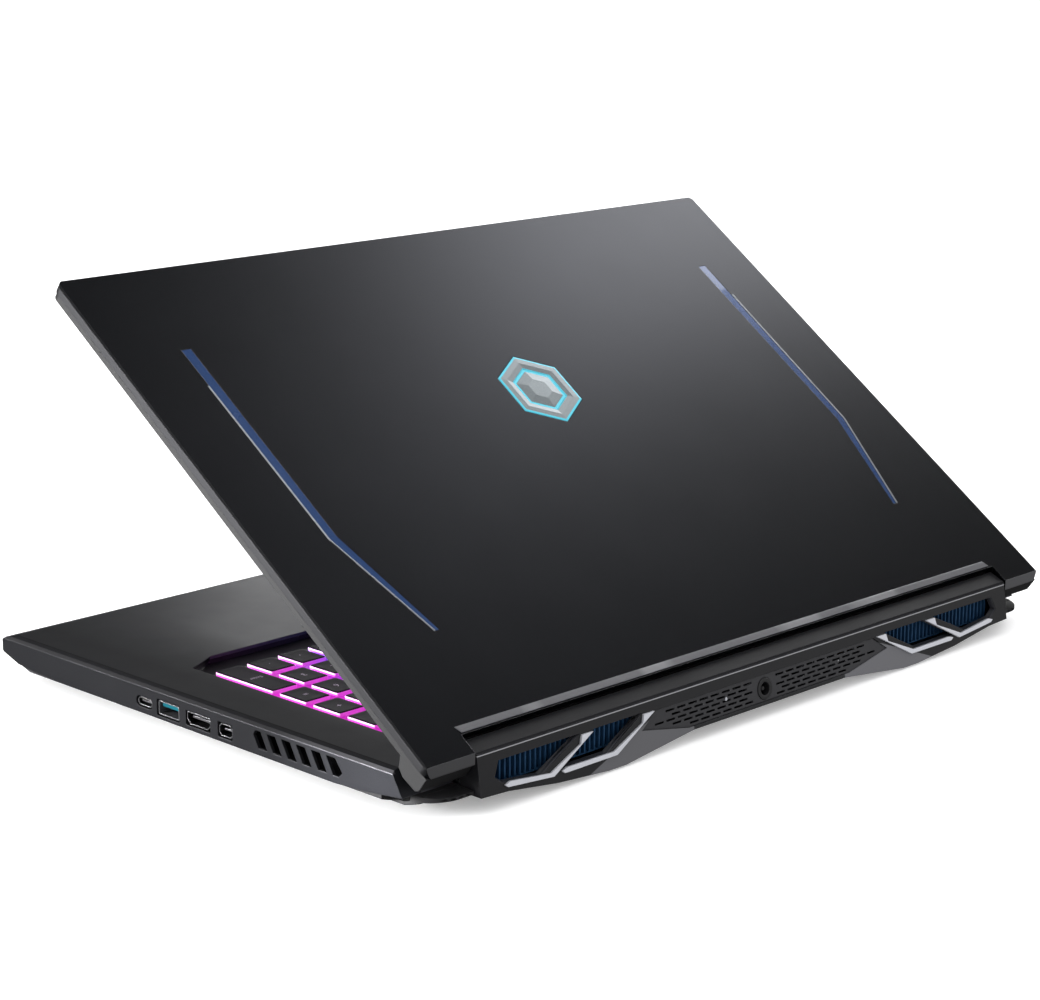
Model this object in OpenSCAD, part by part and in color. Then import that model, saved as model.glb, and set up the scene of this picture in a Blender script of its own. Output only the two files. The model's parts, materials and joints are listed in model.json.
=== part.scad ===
// Gaming laptop computer with a rear exhaust housing, modelled with its lid part open.
// +X is the user's right, +Y is the rear and +Z is up. The origin is at the middle of
// the footprint, on the surface that the rubber feet stand on.

/* [Base] */
// Width of the base and of the lid, across the side walls
base_w = 398; // [396:1:402]
// Depth of the base, from the front edge to the back of the exhaust trims
base_d = 275.5; // [275:0.5:277]
// Height of the deck's outer edge above the table
edge_z = 19; // [18.5:0.1:20]
// Height that the flat deck stands above its outer edge
deck_rise = 0.8; // [0.4:0.1:1]
// Height of the flat underside above the table
belly_z = 1.8; // [1.5:0.1:2.2]
// Thickness of the casing walls
wall = 1.5; // [1.2:0.1:1.8]

/* [Lid] */
// Angle of the lid from closed, as it stands
lid_open = 35.4; // [0:0.1:140]
// Length of the lid from its lower edge to its free edge
lid_len = 269.7; // [265:0.1:272]
// Thickness of the whole lid
lid_t = 7; // [6.5:0.1:7.5]
// Height of the metal cover's rim within that thickness
cover_rim = 4; // [3.5:0.1:4.5]
// Half width of the notch that clears the hinge hump
notch_x = 173.4; // [173.2:0.1:175]
// Depth of that notch, up from the lid's lower edge
notch_len = 9.3; // [9.2:0.1:10]
// Width of the screen's lit area
screen_w = 381.9; // [370:0.1:384]
// Height of the screen's lit area
screen_h = 214.8; // [205:0.1:216]

/* [Hinge] */
// Distance of the hinge axis behind the front edge
hinge_d = 265.5; // [265:0.1:266]
// Height of the hinge axis above the table
hinge_z = 22.6; // [22.4:0.1:23]
// Radius of the hinge shafts
shaft_r = 1.6; // [1.4:0.05:1.7]
// Radial gap between a shaft and its knuckle
shaft_gap = 0.05; // [0.03:0.01:0.1]

/* [Keyboard] */
// Width of one key unit in the main block
key_unit = 18; // [17.5:0.1:18]
// Width of one numeric pad column
pad_unit = 17; // [16.5:0.1:17]
// Distance between key rows, front to back
row_pitch = 20.5; // [19.5:0.1:20.5]
// Gap between neighbouring key caps, side to side
key_gap = 3.4; // [3:0.1:5]
// Gap between key rows, front to back
row_gap = 4.2; // [3.5:0.1:6]
// Height of a key cap
cap_h = 1.9; // [1.5:0.1:1.9]
// How far a key travels when it is pressed
key_travel = 1.5; // [1.2:0.1:1.5]

/* [Exhaust] */
// Distance between the cooling fins
fin_pitch = 2.8; // [2.2:0.1:3.5]
// Thickness of a cooling fin
fin_t = 0.8; // [0.4:0.1:1]
// Number of slanted slots in each side wall
side_slots = 6; // [4:1:7]
// Distance between those slots
side_slot_pitch = 8.8; // [8:0.1:10]

/* [Hidden] */
$fn = 48;
eps = 0.01;
deck_z = edge_z + deck_rise;
deck_low = deck_z - 1.4;
half_w = base_w / 2;
hump_x = 172.4;
floor_end = 269.5;
cap_top = 20.0;
tray_z = cap_top - cap_h - key_travel - 0.4;
hinge_y = hinge_d - base_d / 2;
bore_r = shaft_r + shaft_gap;

// Lid coordinates have their origin on the hinge axis, -Y towards the free edge and +Z
// out of the back of the lid, as if it were closed.
lid_out = 5.06;
lid_low = 3.06;
lid_in = lid_out - lid_t;
lid_seam = lid_out - cover_rim;
lid_free = lid_low - lid_len;
lid_skin = 1.2;
screen_y = -37.5;
badge_y = lid_low - 165;
camera_y = lid_free + 6.4;
bumper_places = [[-188, lid_free + 5.5], [188, lid_free + 5.5], [-90, lid_free + 5],
    [90, lid_free + 5], [-186, -26], [186, -26]];
// The lower edge leans outwards from the back of the lid to its seam
lid_lean = [3.06, -4.51];
// Side view of the corner ear that reaches down round the hinge shaft
ear = [[5.4, lid_seam], [5.28, -5.69], [3.86, -7.32], [-3.64, -7.99], [-7.41, -6.5],
    [-9.6, lid_in], [-12, lid_in], [-12, lid_seam]];

// Lower edge of the side wall, front to rear: distance from the front, height
seam = [[14, 8.7], [26, 7.5], [42, 7], [220, 6.5], [236, 7.4], [258, 9.8]];

// Right edge of the deck in rear view: a bright chamfer, then a slope up to the flat deck
deck_edge = [[half_w, edge_z - 0.8], [half_w - 1.4, edge_z + 0.3], [half_w - 4, deck_z]];

// Rear face of the exhaust housing, from its top edge to its lowest edge
face_top = [270.8, 23.2];
face_low = [274.1, 0.8];
face_tilt = atan((face_low[0] - face_top[0]) / (face_top[1] - face_low[1]));
// Lower edge of that face from the middle outwards: distance sideways, height
skirt = [[0, 5.5], [50, 5.5], [92, 0.9], [102, 0.9], [131, 3], [158, 6.4], [172.4, 7]];

// Keyboard opening in the deck
kb_x = 171.4;
kb_front = 92;
kb_rear = 228;
row0_d = 110.8;
fn_cap_d = 10.5;
main_x = -169.6;
pad_x = 101.6;

// Touchpad: middle, width and length
touchpad_x = -24;
touchpad_d = 48;
touchpad_w = 106;
touchpad_l = 70;

// Buttons above the keyboard: size, and middles as [sideways, from the front]
button_w = 15;
button_l = 6.5;
power_place = [-158, 241];
turbo_place = [-132, 241];

// Centres of the sockets in the right wall and the left wall, from the front
usb_c_d = 102.7;
usb_a_d = 118.3;
hdmi_d = 137.6;
mini_dp_d = 154.7;
port_z = 11.7;
audio_d = 98;
audio_r = 1.8;
usb_left_d = [118, 140];
lan_d = 163;
lan_z = port_z + 0.9;
// Mouth of the network socket; a sprung jaw closes its lowest part
lan_w = 12.2;
lan_h = 6.9;
lock_d = 232;
slot_d = 171.3;

// Power inlet in the rear face: place in rear view
jack_x = 3.4;
jack_z = 12.2;

// The exhaust openings on the right: inner and outer, in rear view
inner_window = [[79.6, 19.2], [108.4, 19.2], [131.4, 7.6], [102.4, 7.4]];
outer_window = [[115.8, 19.2], [161.6, 19.2], [164.4, 13], [160, 9.9], [139.6, 7.9]];
// Rear view of the centre grille
grille_outline = [[-72, 18.2], [72, 18.2], [81, 12], [53, 6.8], [-53, 6.8], [-81, 12]];

// Side view of the hump between the ears of the lid, drawn round the hinge axis
hump = [[-4.7, -2.8], [-4.7, 2.6], [-3.5, 4.5], [-2.2, 4.9], [4.5, 1.9], [5.2, 1.1],
    [5.2, 0.7]];

// Screws that hold the bottom cover: [sideways, from the front]
screw_places = [[-172, 88], [-64, 46], [64, 46], [172, 88], [-175, 150], [175, 150],
    [-60, 150], [60, 150], [-165, 238], [-40, 238], [40, 238], [165, 238]];

// Fans: middle, rotor radius, underside and height of the housing
fan_x = 118;
fan_d = 205;
fan_r = 33;
fan_z = 5.2;
fan_h = 8;

// ---------- helpers ----------

// Y of a place given by its distance behind the front edge
function fy(d) = d - base_d / 2;

// Side-view points given as [distance from the front, height]
function side_points(points) = [for (p = points) [fy(p[0]), p[1]]];

// A side-view outline drawn in Y and Z, extruded along X from x0 to x1
module along_x(x0, x1) {
    translate([x0, 0, 0]) rotate([90, 0, 90]) linear_extrude(x1 - x0) children();
}

// A rear-view outline drawn in X and Z, extruded along Y from y0 to y1
module along_y(y0, y1) {
    translate([0, y1, 0]) rotate([90, 0, 0]) linear_extrude(y1 - y0) children();
}

// A box given by its low and high corners
module box(low, high) {
    translate(low) cube(high - low);
}

// The same thing on the right and, mirrored, on the left
module both_sides() {
    children();
    mirror([1, 0, 0]) children();
}

// A rectangle centred on the origin with round corners
module rounded_rect(w, d, r) {
    square([w - 2 * r, d], center = true);
    square([w, d - 2 * r], center = true);
    for (sx = [-1, 1], sy = [-1, 1])
        translate([sx * (w / 2 - r), sy * (d / 2 - r)]) circle(r);
}

// A rectangle centred on the origin with corners cut at 45 degrees
module clipped_rect(w, d, c) {
    polygon([[-w / 2 + c, -d / 2], [w / 2 - c, -d / 2], [w / 2, -d / 2 + c],
        [w / 2, d / 2 - c], [w / 2 - c, d / 2], [-w / 2 + c, d / 2],
        [-w / 2, d / 2 - c], [-w / 2, -d / 2 + c]]);
}

// Moves lid parts from the closed pose to where the lid stands
module on_lid() {
    translate([0, hinge_y, hinge_z]) rotate([-lid_open, 0, 0]) children();
}

// An outline in X and Z laid on the sloping rear face, from depth y0 to y1 out of it
module on_rear_face(y0, y1) {
    translate([0, fy(face_top[0]), face_top[1]]) rotate([face_tilt, 0, 0])
        translate([0, 0, -face_top[1]]) along_y(y0, y1) children();
}

// A socket shell that opens along +X: a sleeve of wall t round a w by h hollow
module sleeve(depth, w, h, t, r) {
    difference() {
        along_x(-depth, 0) rounded_rect(w + 2 * t, h + 2 * t, r + t);
        along_x(-depth + t, eps) rounded_rect(w, h, r);
    }
}

// Places a socket in the right wall, with its mouth a little inside the wall's face
module in_right_wall(d, z = port_z) {
    translate([half_w - 0.5, fy(d), z]) children();
}

// Places a socket in the left wall
module in_left_wall(d, z = port_z) {
    translate([-half_w + 0.5, fy(d), z]) rotate([0, 0, 180]) children();
}

// ---------- base casing ----------

// Plan of the base with round front corners
module base_plan() {
    corner = 4;
    translate([-half_w + corner, fy(0)]) square([base_w - 2 * corner, base_d]);
    translate([-half_w, fy(corner)]) square([base_w, base_d - corner]);
    for (s = [-1, 1]) translate([s * (half_w - corner), fy(corner)]) circle(corner);
}

// The solid outer form of the deck and side walls
module top_case_form() {
    intersection() {
        along_x(-half_w, half_w) polygon(side_points(concat(
            [[0, 13.2], [1.4, 16.8], [4.6, edge_z], [9, deck_z], [251.9, deck_z]],
            [for (i = [len(seam) - 1:-1:0]) seam[i]])));
        linear_extrude(deck_z + 1) base_plan();
        along_y(fy(-1), fy(base_d)) polygon(concat(
            [[-half_w, 0], [half_w, 0]], deck_edge, [for (i = [len(deck_edge) - 1:-1:0])
                [-deck_edge[i][0], deck_edge[i][1]]]));
    }
}

// The space inside the deck and side walls
module top_case_hollow() {
    inner_x = half_w - wall;
    intersection() {
        along_x(-inner_x, inner_x) polygon(side_points([[6, 13.4], [6, 16],
            [9.5, deck_low], [250.2, deck_low], [256.2, 8.6], [256.2, 0], [16, 0],
            [16, 10.2]]));
        along_y(fy(0), fy(base_d)) polygon([[-inner_x, 0], [inner_x, 0],
            [inner_x, edge_z - 1.6], [inner_x - 4, deck_low], [4 - inner_x, deck_low],
            [-inner_x, edge_z - 1.6]]);
    }
}

// Outline of the keyboard opening, grown by g on every side
module keyboard_outline(g = 0) {
    cut = 16;
    polygon([[-kb_x - g, fy(kb_front + 8)], [-kb_x - g + cut, fy(kb_front - g)],
        [kb_x + g - cut, fy(kb_front - g)], [kb_x + g, fy(kb_front + 8)],
        [kb_x + g, fy(kb_rear + g)], [-kb_x - g, fy(kb_rear + g)]]);
}

// One slanted side slot seen from the side; the end slots have a clipped corner
module side_slot(first, last) {
    lean = 4;
    w = 5.3;
    low = 9.5;
    high = 16.6;
    clip_top = first ? 2 : 0;
    clip_low = last ? 2 : 0;
    polygon([[clip_top, high], [w, high], [w + lean, low + clip_low],
        [w + lean - clip_low, low], [lean, low], [clip_top > 0 ? 0.8 : 0, high - clip_top]]);
}

module side_slots_cut() {
    for (i = [0:side_slots - 1])
        along_x(half_w - 4, half_w + 1)
            translate([fy(slot_d + i * side_slot_pitch), 0])
                side_slot(i == 0, i == side_slots - 1);
}

// Holes in the right wall for the sockets
module right_port_cuts() {
    for (p = [[usb_c_d, 10.4, 4.6, 1.9], [usb_a_d, 14.6, 7.2, 0.8],
            [hdmi_d, 15.6, 6.4, 1], [mini_dp_d, 9.2, 6.4, 0.8]])
        along_x(half_w - 4, half_w + 1)
            translate([fy(p[0]), port_z]) rounded_rect(p[1], p[2], p[3]);
}

// Holes in the left wall for the sockets and the lock
module left_port_cuts() {
    along_x(-half_w - 1, 4 - half_w) {
        translate([fy(audio_d), port_z]) circle(3.6);
        for (d = usb_left_d) translate([fy(d), port_z]) rounded_rect(14.6, 7.2, 0.8);
        translate([fy(lan_d), lan_z]) square([15, 9.4], center = true);
        translate([fy(lan_d) - lan_w / 2 - 0.5, 0]) square([lan_w + 1, lan_z]);
        translate([fy(lock_d), port_z + 0.6]) rounded_rect(7, 3, 0.6);
    }
}

module top_case() {
    color("#2c2d31") difference() {
        union() {
            difference() {
                top_case_form();
                top_case_hollow();
                box([-hump_x, fy(248), 0], [hump_x, fy(262), deck_low]);
            }
            box([-hump_x, fy(250), deck_low], [hump_x, fy(260.4), deck_z]);
        }
        translate([0, 0, deck_low - 1]) linear_extrude(4) keyboard_outline();
        translate([touchpad_x, fy(touchpad_d), deck_low - 1])
            linear_extrude(4) rounded_rect(touchpad_w + 0.8, touchpad_l + 0.8, 2.4);
        for (b = [power_place, turbo_place])
            translate([b[0], fy(b[1]), deck_low - 1])
                linear_extrude(4) clipped_rect(button_w + 0.7, button_l + 0.7, 1.6);
        side_slots_cut();
        mirror([1, 0, 0]) side_slots_cut();
        right_port_cuts();
        left_port_cuts();
    }
}

// One intake grid of slots under a fan
module intake_slots() {
    slot_w = 20;
    slot_l = 2;
    for (col = [-1:1], row = [-5:5])
        translate([col * (slot_w + 4), row * 5, belly_z - 1])
            linear_extrude(4) rounded_rect(slot_w, slot_l, 0.9);
}

// Plan of the floor of the base: its rear corners are round and inset
module floor_plan() {
    round_x = 180;
    round_r = 13.5;
    translate([-half_w, fy(0)]) square([base_w, 246]);
    translate([-round_x, fy(230)]) square([2 * round_x, floor_end - 230]);
    translate([-round_x - round_r, fy(230)]) square([2 * (round_x + round_r), 26]);
    for (s = [-1, 1]) translate([s * round_x, fy(256)]) circle(round_r);
}

// Floor under the corner of the lid, behind the side wall
module corner_floor() {
    along_x(hump_x + 0.2, half_w) polygon(side_points([[248, 6.8], [258, 7.2],
        [floor_end, 7.9], [floor_end, 9.2], [258, 9.7], [254, 9.3], [248, 8.6]]));
}

module bottom_cover() {
    inset = 14.5;
    rear_rise = 5.1;
    floor_z = belly_z + wall;
    color("#1d1e21") difference() {
        intersection() {
            union() {
                intersection() {
                    along_x(-half_w, half_w) polygon(side_points(concat(seam, [[261, 9.8],
                        [261, belly_z + rear_rise], [242, belly_z], [38, belly_z]])));
                    along_y(fy(0), fy(base_d)) polygon([[inset - half_w, belly_z],
                        [half_w - inset, belly_z], [half_w - 0.6, 6.5], [half_w - 0.6, 12],
                        [0.6 - half_w, 12], [0.6 - half_w, 6.5]]);
                }
                both_sides() corner_floor();
            }
            linear_extrude(deck_z) floor_plan();
        }
        intersection() {
            along_x(-half_w, half_w) polygon(side_points([[18, 9.5], [26, 8.5],
                [39, floor_z], [242, floor_z], [256.5, floor_z + rear_rise * 0.76],
                [256.5, 13], [26, 13]]));
            along_y(fy(0), fy(257)) polygon([[inset - half_w, floor_z],
                [half_w - inset, floor_z], [half_w - 2.4, 7.2], [half_w - 2.4, 13],
                [2.4 - half_w, 13], [2.4 - half_w, 7.2]]);
        }
        along_x(-hump_x, hump_x) polygon(side_points([[250, floor_z + rear_rise * 0.42],
            [262, floor_z + rear_rise * 1.05], [262, 13], [250, 13]]));
        both_sides() translate([fan_x, fy(fan_d), 0]) intake_slots();
        both_sides() for (i = [0:4])
            box([174.6 + i * 3.6, fy(267), 8.1], [176.8 + i * 3.6, fy(270), 8.9]);
        for (p = screw_places) translate([p[0], fy(p[1]), belly_z - 1]) {
            cylinder(h = 1.8, r = 3);
            cylinder(h = 6, r = 1.3);
        }
    }
}

module bottom_screws() {
    color("#3a3b3e") for (p = screw_places) translate([p[0], fy(p[1]), belly_z + 0.1])
        difference() {
            union() {
                cylinder(h = 0.7, r = 2.8);
                cylinder(h = 4.4, r = 1.2);
            }
            translate([0, 0, -eps]) for (a = [0, 90]) rotate([0, 0, a])
                translate([-1.3, -0.3, 0]) cube([2.6, 0.6, 0.5]);
        }
}

module rubber_feet() {
    pad_x = 97;
    color("#151516") {
        for (s = [-1, 1]) translate([s * 135, fy(52), 0])
            linear_extrude(belly_z) rounded_rect(52, 9, 4.4);
        translate([0, fy(230), 0]) linear_extrude(belly_z) rounded_rect(300, 8, 3.9);
        for (s = [-1, 1]) translate([s * pad_x, fy(267), 0])
            linear_extrude(0.9) rounded_rect(9.6, 7, 2);
    }
}

// ---------- hinge hump and rear housing ----------

module hinge_cover() {
    color("#17181b") difference() {
        translate([0, hinge_y, hinge_z]) along_x(-hump_x, hump_x) polygon(hump);
        translate([0, hinge_y, hinge_z]) along_x(-hump_x + 1.1, hump_x - 1.1)
            polygon([[-3.8, -4], [-3.8, 2.3], [-3, 3.6], [-2.1, 3.9], [3.6, 1.3],
                [3.6, -4]]);
        box([-hump_x - 1, hinge_y - 2.6, 0], [hump_x + 1, hinge_y + 6, face_top[1]]);
        translate([-half_w, hinge_y, hinge_z]) rotate([0, 90, 0])
            cylinder(h = base_w, r = shaft_r + 0.6);
    }
}

// Rear-view outline of the housing, raised by g above its lower edge
function skirt_points(g) = concat(
    [for (i = [len(skirt) - 1:-1:0]) [-skirt[i][0], skirt[i][1] + g]],
    [for (i = [1:len(skirt) - 1]) [skirt[i][0], skirt[i][1] + g]],
    [[hump_x, face_top[1]], [-hump_x, face_top[1]]]);

module rear_housing() {
    front_d = 261.1;
    color("#2b2b2f") difference() {
        intersection() {
            along_x(-hump_x, hump_x) polygon(side_points([[front_d, face_top[1] - 4.6],
                [front_d, 0], face_low, face_top, [268.6, face_top[1]],
                [268.6, face_top[1] - 4.6]]));
            along_y(fy(250), fy(280)) polygon(skirt_points(0));
        }
        intersection() {
            along_x(-hump_x + 1.3, hump_x - 1.3) polygon(side_points([
                [front_d - 1, 30], [front_d - 1, 7.2], [front_d + 1.3, 7.2],
                [front_d + 1.3, 0], [face_low[0] - wall, 0],
                [face_top[0] - wall, face_top[1]], [face_top[0] - wall, 30]]));
            along_y(fy(250), fy(280)) polygon(concat(
                [for (p = skirt_points(1.4)) [p[0], min(p[1], 30)]]));
        }
        both_sides() on_rear_face(-6, 3) polygon(inner_window);
        both_sides() on_rear_face(-6, 3) polygon(outer_window);
        on_rear_face(-6, 3) polygon(grille_outline);
        translate([-half_w, hinge_y, hinge_z]) rotate([0, 90, 0])
            cylinder(h = base_w, r = shaft_r + 0.6);
    }
}

// Dashes of the centre grille, in staggered rows
module grille_dashes() {
    rows = 5;
    pitch = 7;
    dash = [5.4, 0.9];
    for (r = [0:rows - 1], i = [-10:10]) {
        z = 16.4 - r * 2;
        x = i * pitch + (r % 2) * pitch / 2;
        reach = r < 2 ? 66 + r * 3 : 74 - (r - 2) * 9;
        if (abs(x) + dash[0] / 2 < reach && abs(x - jack_x) > 10)
            translate([x, z]) square(dash, center = true);
    }
}

module rear_grille() {
    color("#3a3b40") difference() {
        on_rear_face(-1.7, -0.5) polygon([for (p = grille_outline)
            [p[0] * 0.997, 12.5 + (p[1] - 12.5) * 0.985]]);
        on_rear_face(-4, 1) grille_dashes();
        on_rear_face(-4, 1) translate([jack_x, jack_z]) circle(4.8);
        for (x = [-47, 28]) on_rear_face(-4, 1) translate([x, 13.2]) circle(0.9);
    }
}

// Hook-shaped trim: a pointed head, a slim slanted leg and a foot that runs outwards
module trim_hook(head_x, foot_end) {
    head_z = 18.6;
    elbow = [head_x + 24.4, 6.4];
    polygon([[head_x, head_z], [head_x + 6.3, head_z], [head_x + 7.4, head_z - 3.4],
        [elbow[0] + 0.9, elbow[1] + 1.4], [foot_end[0] - 1.6, foot_end[1] + 1.4],
        [foot_end[0] + 1.4, foot_end[1] + 0.5], [foot_end[0], foot_end[1] - 0.6],
        [elbow[0] - 0.6, elbow[1] - 0.3]]);
}

module exhaust_trims() {
    proud = 1;
    on_rear_face(-0.2, proud) {
        trim_hook(73.6, [127.4, 6.6]);
        trim_hook(109.8, [158.6, 8.7]);
    }
}

// Trims are let into the housing, so the housing's own face is cut away from them
module exhaust_trim_right() {
    color("#d9dae2") difference() {
        exhaust_trims();
        rear_housing();
        rear_grille();
    }
}

module exhaust_trim_left() {
    color("#d9dae2") mirror([1, 0, 0]) difference() {
        exhaust_trims();
        rear_housing();
        mirror([1, 0, 0]) rear_grille();
    }
}

module fin_stack_right() {
    first = 78;
    last = 163;
    depth = 6;
    color("#1d3f63") translate([0, fy(261.4), 0]) {
        for (z = [8.1, 19.1]) translate([first, 0, z]) cube([last - first, depth, 0.4]);
        for (x = [first:fin_pitch:last - fin_t])
            translate([x, 0, 8.5]) cube([fin_t, depth, 10.6]);
    }
}

module fin_stack_left() {
    mirror([1, 0, 0]) fin_stack_right();
}

module hinge_bracket_right() {
    x0 = 165.2;
    x1 = 170.6;
    knuckle_r = 2.4;
    color("#8c8e92") difference() {
        union() {
            translate([x0, hinge_y, hinge_z]) rotate([0, 90, 0])
                cylinder(h = x1 - x0, r = knuckle_r);
            box([x0, hinge_y - knuckle_r, 8.6], [x1, hinge_y - 0.6, hinge_z]);
            box([x0, fy(224), 8.6], [x1, hinge_y - 0.6, 10.4]);
        }
        translate([x0 - 1, hinge_y, hinge_z]) rotate([0, 90, 0])
            cylinder(h = x1 - x0 + 2, r = bore_r);
        for (d = [229, 240]) translate([(x0 + x1) / 2, fy(d), 0])
            cylinder(h = 20, r = 1.1);
    }
}

module hinge_bracket_left() {
    mirror([1, 0, 0]) hinge_bracket_right();
}

// ---------- inside the base ----------

module fan_housing() {
    post_r = 1.25;
    size = 2 * fan_r + 10;
    color("#26272a") difference() {
        translate([0, 0, fan_z]) linear_extrude(fan_h) rounded_rect(size, size, 10);
        translate([0, 0, fan_z + 0.8]) linear_extrude(fan_h - 1.6) circle(fan_r + 3);
        box([-fan_r, 0, fan_z + 0.8], [fan_r, size, fan_z + fan_h - 0.8]);
        for (z = [fan_z - 1, fan_z + fan_h - 1.4]) translate([0, 0, z]) difference() {
            cylinder(h = 2.6, r = fan_r - 8);
            cylinder(h = 2.6, r = 10);
            for (a = [30:120:270]) rotate([0, 0, a])
                translate([0, -1.2, 0]) cube([fan_r, 2.4, 2.6]);
        }
    }
    color("#b8babd") translate([0, 0, fan_z + 0.8]) cylinder(h = fan_h - 1.6, r = post_r);
}

module fan_rotor() {
    blades = 31;
    z = fan_z + 1.3;
    h = fan_h - 2.6;
    color("#34363a") difference() {
        union() {
            translate([0, 0, z]) cylinder(h = h, r = 12);
            translate([0, 0, z + h / 2 - 0.3]) difference() {
                cylinder(h = 0.6, r = fan_r - 2);
                cylinder(h = 3, r = 20, center = true);
            }
            for (i = [0:blades - 1]) rotate([0, 0, i * 360 / blades])
                translate([11, -0.3, z]) rotate([0, 0, 14]) cube([fan_r - 12.6, 0.6, h]);
        }
        translate([0, 0, z - 1]) cylinder(h = h + 2, r = 1.3);
    }
}

module at_fan(side) {
    translate([side * fan_x, fy(fan_d), 0]) children();
}

module fan_housing_right() {
    at_fan(1) fan_housing();
}

module fan_housing_left() {
    at_fan(-1) fan_housing();
}

module fan_rotor_right() {
    at_fan(1) fan_rotor();
}

module fan_rotor_left() {
    at_fan(-1) fan_rotor();
}

// Unit vector along v, and v turned a quarter to the left
function unit(v) = v / norm(v);
function left_of(v) = [-v[1], v[0]];

// Plan of a flat pipe of width w that runs through the listed points, mitred at its bends
module pipe_plan(points, w) {
    last = len(points) - 1;
    runs = [for (i = [1:last]) unit(points[i] - points[i - 1])];
    sides = [for (i = [0:last])
        let (next = left_of(runs[min(i, last - 1)]),
            lean = unit(left_of(runs[max(i - 1, 0)]) + next))
        lean * w / 2 / (lean * next)];
    polygon(concat([for (i = [0:last]) points[i] + sides[i]],
        [for (i = [last:-1:0]) points[i] - sides[i]]));
}

module heat_pipes() {
    pipe_w = 4.2;
    color("#b06a3c") translate([0, 0, 9.65]) linear_extrude(3) for (i = [0:2]) {
        back = fy(256.5 - i * 5.2);
        lane = fy(196 - i * 9);
        wide = 64 + i * 6.2;
        pipe_plan([[-158, back], [-wide, back], [16 - wide, lane],
            [wide - 16, lane], [wide, back], [158, back]], pipe_w);
    }
}

module cold_plates() {
    color("#c48a5c") {
        box([-46.5, fy(170), 7.35], [-13.5, fy(204), 9.6]);
        box([15, fy(170), 7.35], [45, fy(204), 9.6]);
    }
}

module mainboard() {
    board_z = 5;
    color("#123a2c") {
        difference() {
            box([-150, fy(100), board_z], [150, fy(246), board_z + 1.2]);
            both_sides() box([fan_x - 40, fy(fan_d - 40), 0], [160, fy(250), 20]);
            for (p = screw_places) translate([p[0], fy(p[1]), 0]) cylinder(h = 20, r = 2);
        }
        box([-46, fy(171), board_z + 1.2], [-14, fy(203), 7.3]);
        box([17, fy(173), board_z + 1.2], [43, fy(201), 7.3]);
        for (i = [0:7]) box([-52 + i * 13.4, fy(214), board_z + 1.2],
            [-44 + i * 13.4, fy(222), board_z + 4]);
        for (i = [0:5]) box([54, fy(166 + i * 7), board_z + 1.2],
            [60, fy(171 + i * 7), board_z + 4]);
    }
}

module memory_modules() {
    color("#1f5b3f") for (i = [0:1]) translate([-34, fy(106 + i * 31), 7]) {
        cube([67.6, 26, 1.2]);
        for (j = [0:3]) translate([4 + j * 16, 6, 1.2]) cube([11, 14, 1]);
        translate([-3, 26, -0.8]) cube([73.6, 4, 3.6]);
    }
}

module solid_state_drive() {
    color("#24262b") {
        translate([48, fy(112), 7.4]) cube([80, 22, 0.8]);
        for (j = [0:3]) translate([52 + j * 18, fy(114.5), 8.2]) cube([15, 17, 1.2]);
        translate([44, fy(111), 6.2]) cube([4, 24, 4]);
    }
}

module wireless_card() {
    color("#2b4d3f") {
        translate([-84, fy(112), 7.4]) cube([30, 22, 0.8]);
        translate([-80, fy(114), 8.2]) cube([20, 18, 1.4]);
        translate([-88, fy(111), 6.2]) cube([4, 24, 4]);
    }
}

module battery_pack() {
    cells = 4;
    color("#1b1c1e") {
        box([-128, fy(32), 8.4], [128, fy(84), 9.4]);
        for (i = [0:cells - 1]) translate([-126 + i * 64, fy(38), 4.4])
            cube([60, 44, 4]);
    }
}

module speakers() {
    color("#202124") both_sides() difference() {
        translate([160, fy(60), 5]) linear_extrude(8) rounded_rect(46, 26, 3);
        translate([154, fy(60), 4]) linear_extrude(3) rounded_rect(24, 14, 4);
    }
}

// ---------- deck controls ----------

module touchpad() {
    color("#25262a") translate([touchpad_x, fy(touchpad_d), 0]) {
        translate([0, 0, deck_z - 1.6]) linear_extrude(1.5)
            rounded_rect(touchpad_w, touchpad_l, 2);
        translate([0, 0, deck_z - 3.2]) linear_extrude(1.6)
            rounded_rect(touchpad_w - 8, touchpad_l - 8, 2);
    }
}

module deck_button(place) {
    translate([place[0], fy(place[1]), 0]) {
        translate([0, 0, 17.6]) linear_extrude(deck_z - 17.8)
            clipped_rect(button_w, button_l, 1.4);
        translate([0, 0, 16.6]) linear_extrude(1) rounded_rect(5, 3, 0.8);
    }
}

module power_button() {
    color("#33353a") deck_button(power_place);
}

module turbo_button() {
    color("#33353a") deck_button(turbo_place);
}

module keyboard_tray() {
    color("#c81ec8") difference() {
        translate([0, 0, tray_z - 1]) linear_extrude(deck_low - tray_z + 0.95)
            keyboard_outline(1.8);
        translate([0, 0, tray_z]) linear_extrude(5) keyboard_outline(0.4);
    }
}

// One key cap, from its left edge, with its row number and its width in units
module key(x, row, units, unit = key_unit, rows = 1) {
    w = units * unit - key_gap;
    d = (row == 5 ? fn_cap_d : row_pitch * rows - row_gap);
    translate([x + w / 2 + key_gap / 2, fy(row0_d + row * row_pitch) + d / 2, cap_top - cap_h])
        linear_extrude(cap_h) clipped_rect(w, d, 0.9);
}

// Sum of the first n values
function total(values, n) = n == 0 ? 0 : values[n - 1] + total(values, n - 1);

// A run of keys in one row: each entry of widths is a width in units
module key_run(x, row, widths) {
    for (i = [0:len(widths) - 1]) key(x + total(widths, i) * key_unit, row, widths[i]);
}

// The same width repeated n times
function repeat(value, n) = [for (i = [1:n]) value];

module function_keys() {
    color("#2a2b30") key_run(main_x, 5, repeat(1, 15));
}

module number_keys() {
    color("#2a2b30") key_run(main_x, 4, concat(repeat(1, 13), [2]));
}

module upper_letter_keys() {
    color("#2a2b30") key_run(main_x, 3, concat([1.5], repeat(1, 12), [1.5]));
}

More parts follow.
